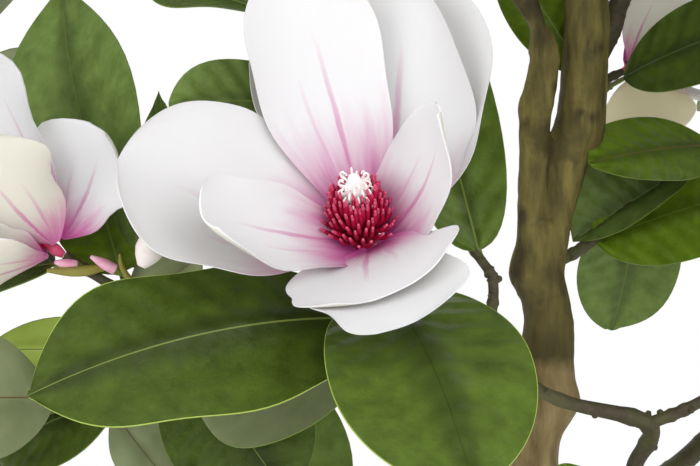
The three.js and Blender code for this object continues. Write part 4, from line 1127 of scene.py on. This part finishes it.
def heart_parts(foot, axis, fingers, sides, rings, seed, spread):
    """The receptacle, the fingers round it and the pistil with its styles; a small spread closes them up."""
    roll = Dice(seed)
    base = [foot + axis * far for far in (5, 12, 24, 34)]
    parts = [tube(base, np.array([5, 8, 7, 4]) * spread, 16, 8, colour=CRIMSON)]
    cup = [foot + axis * far for far in (0, 5, 9)]
    cup_colour = CRIMSON if spread == 1 else PINK_TIP
    parts.append(tube(cup, np.array([5, 9.5, 7]) * spread, 16, 5, colour=cup_colour))
    for k in range(fingers):
        share = (k + 0.5) / fingers
        out = around_at(axis, k * GOLDEN)
        tilt = spread * (0.2 + 0.95 * (1 - share) + 0.2 * (roll() - 0.5))
        start = foot + axis * (9 + 15 * share) + out * 6.2 * (0.5 + 0.5 * spread)
        ahead = axis * math.cos(tilt) + out * math.sin(tilt)
        long = 14.5 + 3 * roll()
        bow = out * (-1 - 3 * roll()) + axis * 3
        points = [start, start + ahead * long * 0.5, start + ahead * long + bow]
        finger = tube(points, [1, 1.15, 1.1, 0.6], sides, rings, colour=CRIMSON)
        finger["looks"][-sides:] = PINK_TIP
        finger["cap_looks"][1] = PINK_TIP
        parts.append(finger)
    core = [foot + axis * far for far in (22, 31, 40, 47)]
    parts.append(tube(core, [4.4, 5.6, 5.2, 2.6], 16, 8, colour=WHITE))
    styles = int(fingers * 0.34)
    for k in range(styles):
        share = (k + 0.5) / styles
        out = around_at(axis, k * GOLDEN + 1)
        start = foot + axis * (28 + 16 * share) + out * (5 - 1.6 * share)
        curl = [(3, 0.4), (4.4 - share, 2.4), (3.2 - share, 4), (2 - share, 3.2)]
        points = [start] + [start + out * away + axis * (up + share) for away, up in curl]
        radii = [0.65, 0.6, 0.55, 0.5, 0.35]
        parts.append(tube(points, radii, max(sides - 2, 4), rings + 2, colour=WHITE))
    return parts


HEART_SPREAD = {"bloom_left": 0.35, "bloom_right": 0.35}
parts = []
for n, (name, (foot, axis)) in enumerate(seats.items()):
    if name == "bloom_front":
        shifted = foot + np.array([-5, 0, 2])
        front_parts = heart_parts(shifted, axis, 126, 8, 7, 7, 1)
        piece = build("heart_front", front_parts, heart_looks, sharp=50)
        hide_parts(name)
    else:
        parts.extend(heart_parts(foot, axis, 40, 5, 4, n, HEART_SPREAD.get(name, 1)))
piece = build("hearts", parts, heart_looks, sharp=50)
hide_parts(*[name for name in seats if name != "bloom_front"])

# Buds: closed petals wrapped round each other and held in a green calyx, moulded in one. Three small ones,
# one of them white, sit under the left bloom with two olive scales, and one tops each spray without a bloom.
BUD_SIDES = 20
BUD_RINGS = 24
CALYX_RINGS = 9
BUD_PINK, GREEN, CALYX, WHITE_BUD = range(4)
parts = []
ends = [
    ([-227, -204, 929], [-245, -212, 940], 0.36),
    ([-247, -206, 933.7], [-263, -214, 937.4], 0.36),
    ([-209, -230, 955], [-218, -230, 936.5], 0.9),
]
for mass in MASSES:
    if mass["bud"]:
        ahead = heading_at(mass["stem"], 1.0)
        end = np.array(mass["stem"][-1], float)
        ends.append((end - ahead * 2, end + ahead * 42, 1))
for foot, tip, fat in ends:
    foot = np.array(foot, float)
    tip = np.array(tip, float)
    shape = np.array([2, 5, 8, 8, 6, 2.5]) * fat
    bud = tube([foot, (foot + tip) / 2, tip], shape, BUD_SIDES, BUD_RINGS, colour=BUD_PINK)
    bud["looks"][: BUD_SIDES * CALYX_RINGS] = GREEN
    if len(parts) == 2:
        bud["looks"][:] = WHITE_BUD
    parts.append(bud)
for points, radii in [
    ([[-226, -204, 927], [-230, -207, 934], [-231, -208, 941]], [1.8, 1.6, 0.6]),
    ([[-238, -207, 934], [-251, -212, 932.5], [-267, -213, 933]], [1.4, 2.8, 2.6, 1]),
]:
    parts.append(tube(points, radii, 10, 8, colour=CALYX))

# Bud finishes: the scales are dipped in an olive wax, which is dull and a little cloudy, and the buds are of
# petal film, sprayed in soft spots from pink to near white.
calyx_wax = two_toned("olive calyx wax", "#8a7f38", "#7a6f2c", "#989242", 8, 3.0)[0]
bud_film = two_toned("pink bud film", "#e88fb6", "#d9609a", "#f6d7e2", 6, 3.0)[0]
piece = build("buds", parts, [bud_film, LEAF_LOOKS[GREEN_RIM], calyx_wax, heart_looks[WHITE]], sharp=50)
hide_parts("mass_front", *["mass_" + mass["name"] for mass in MASSES if mass["bud"]])
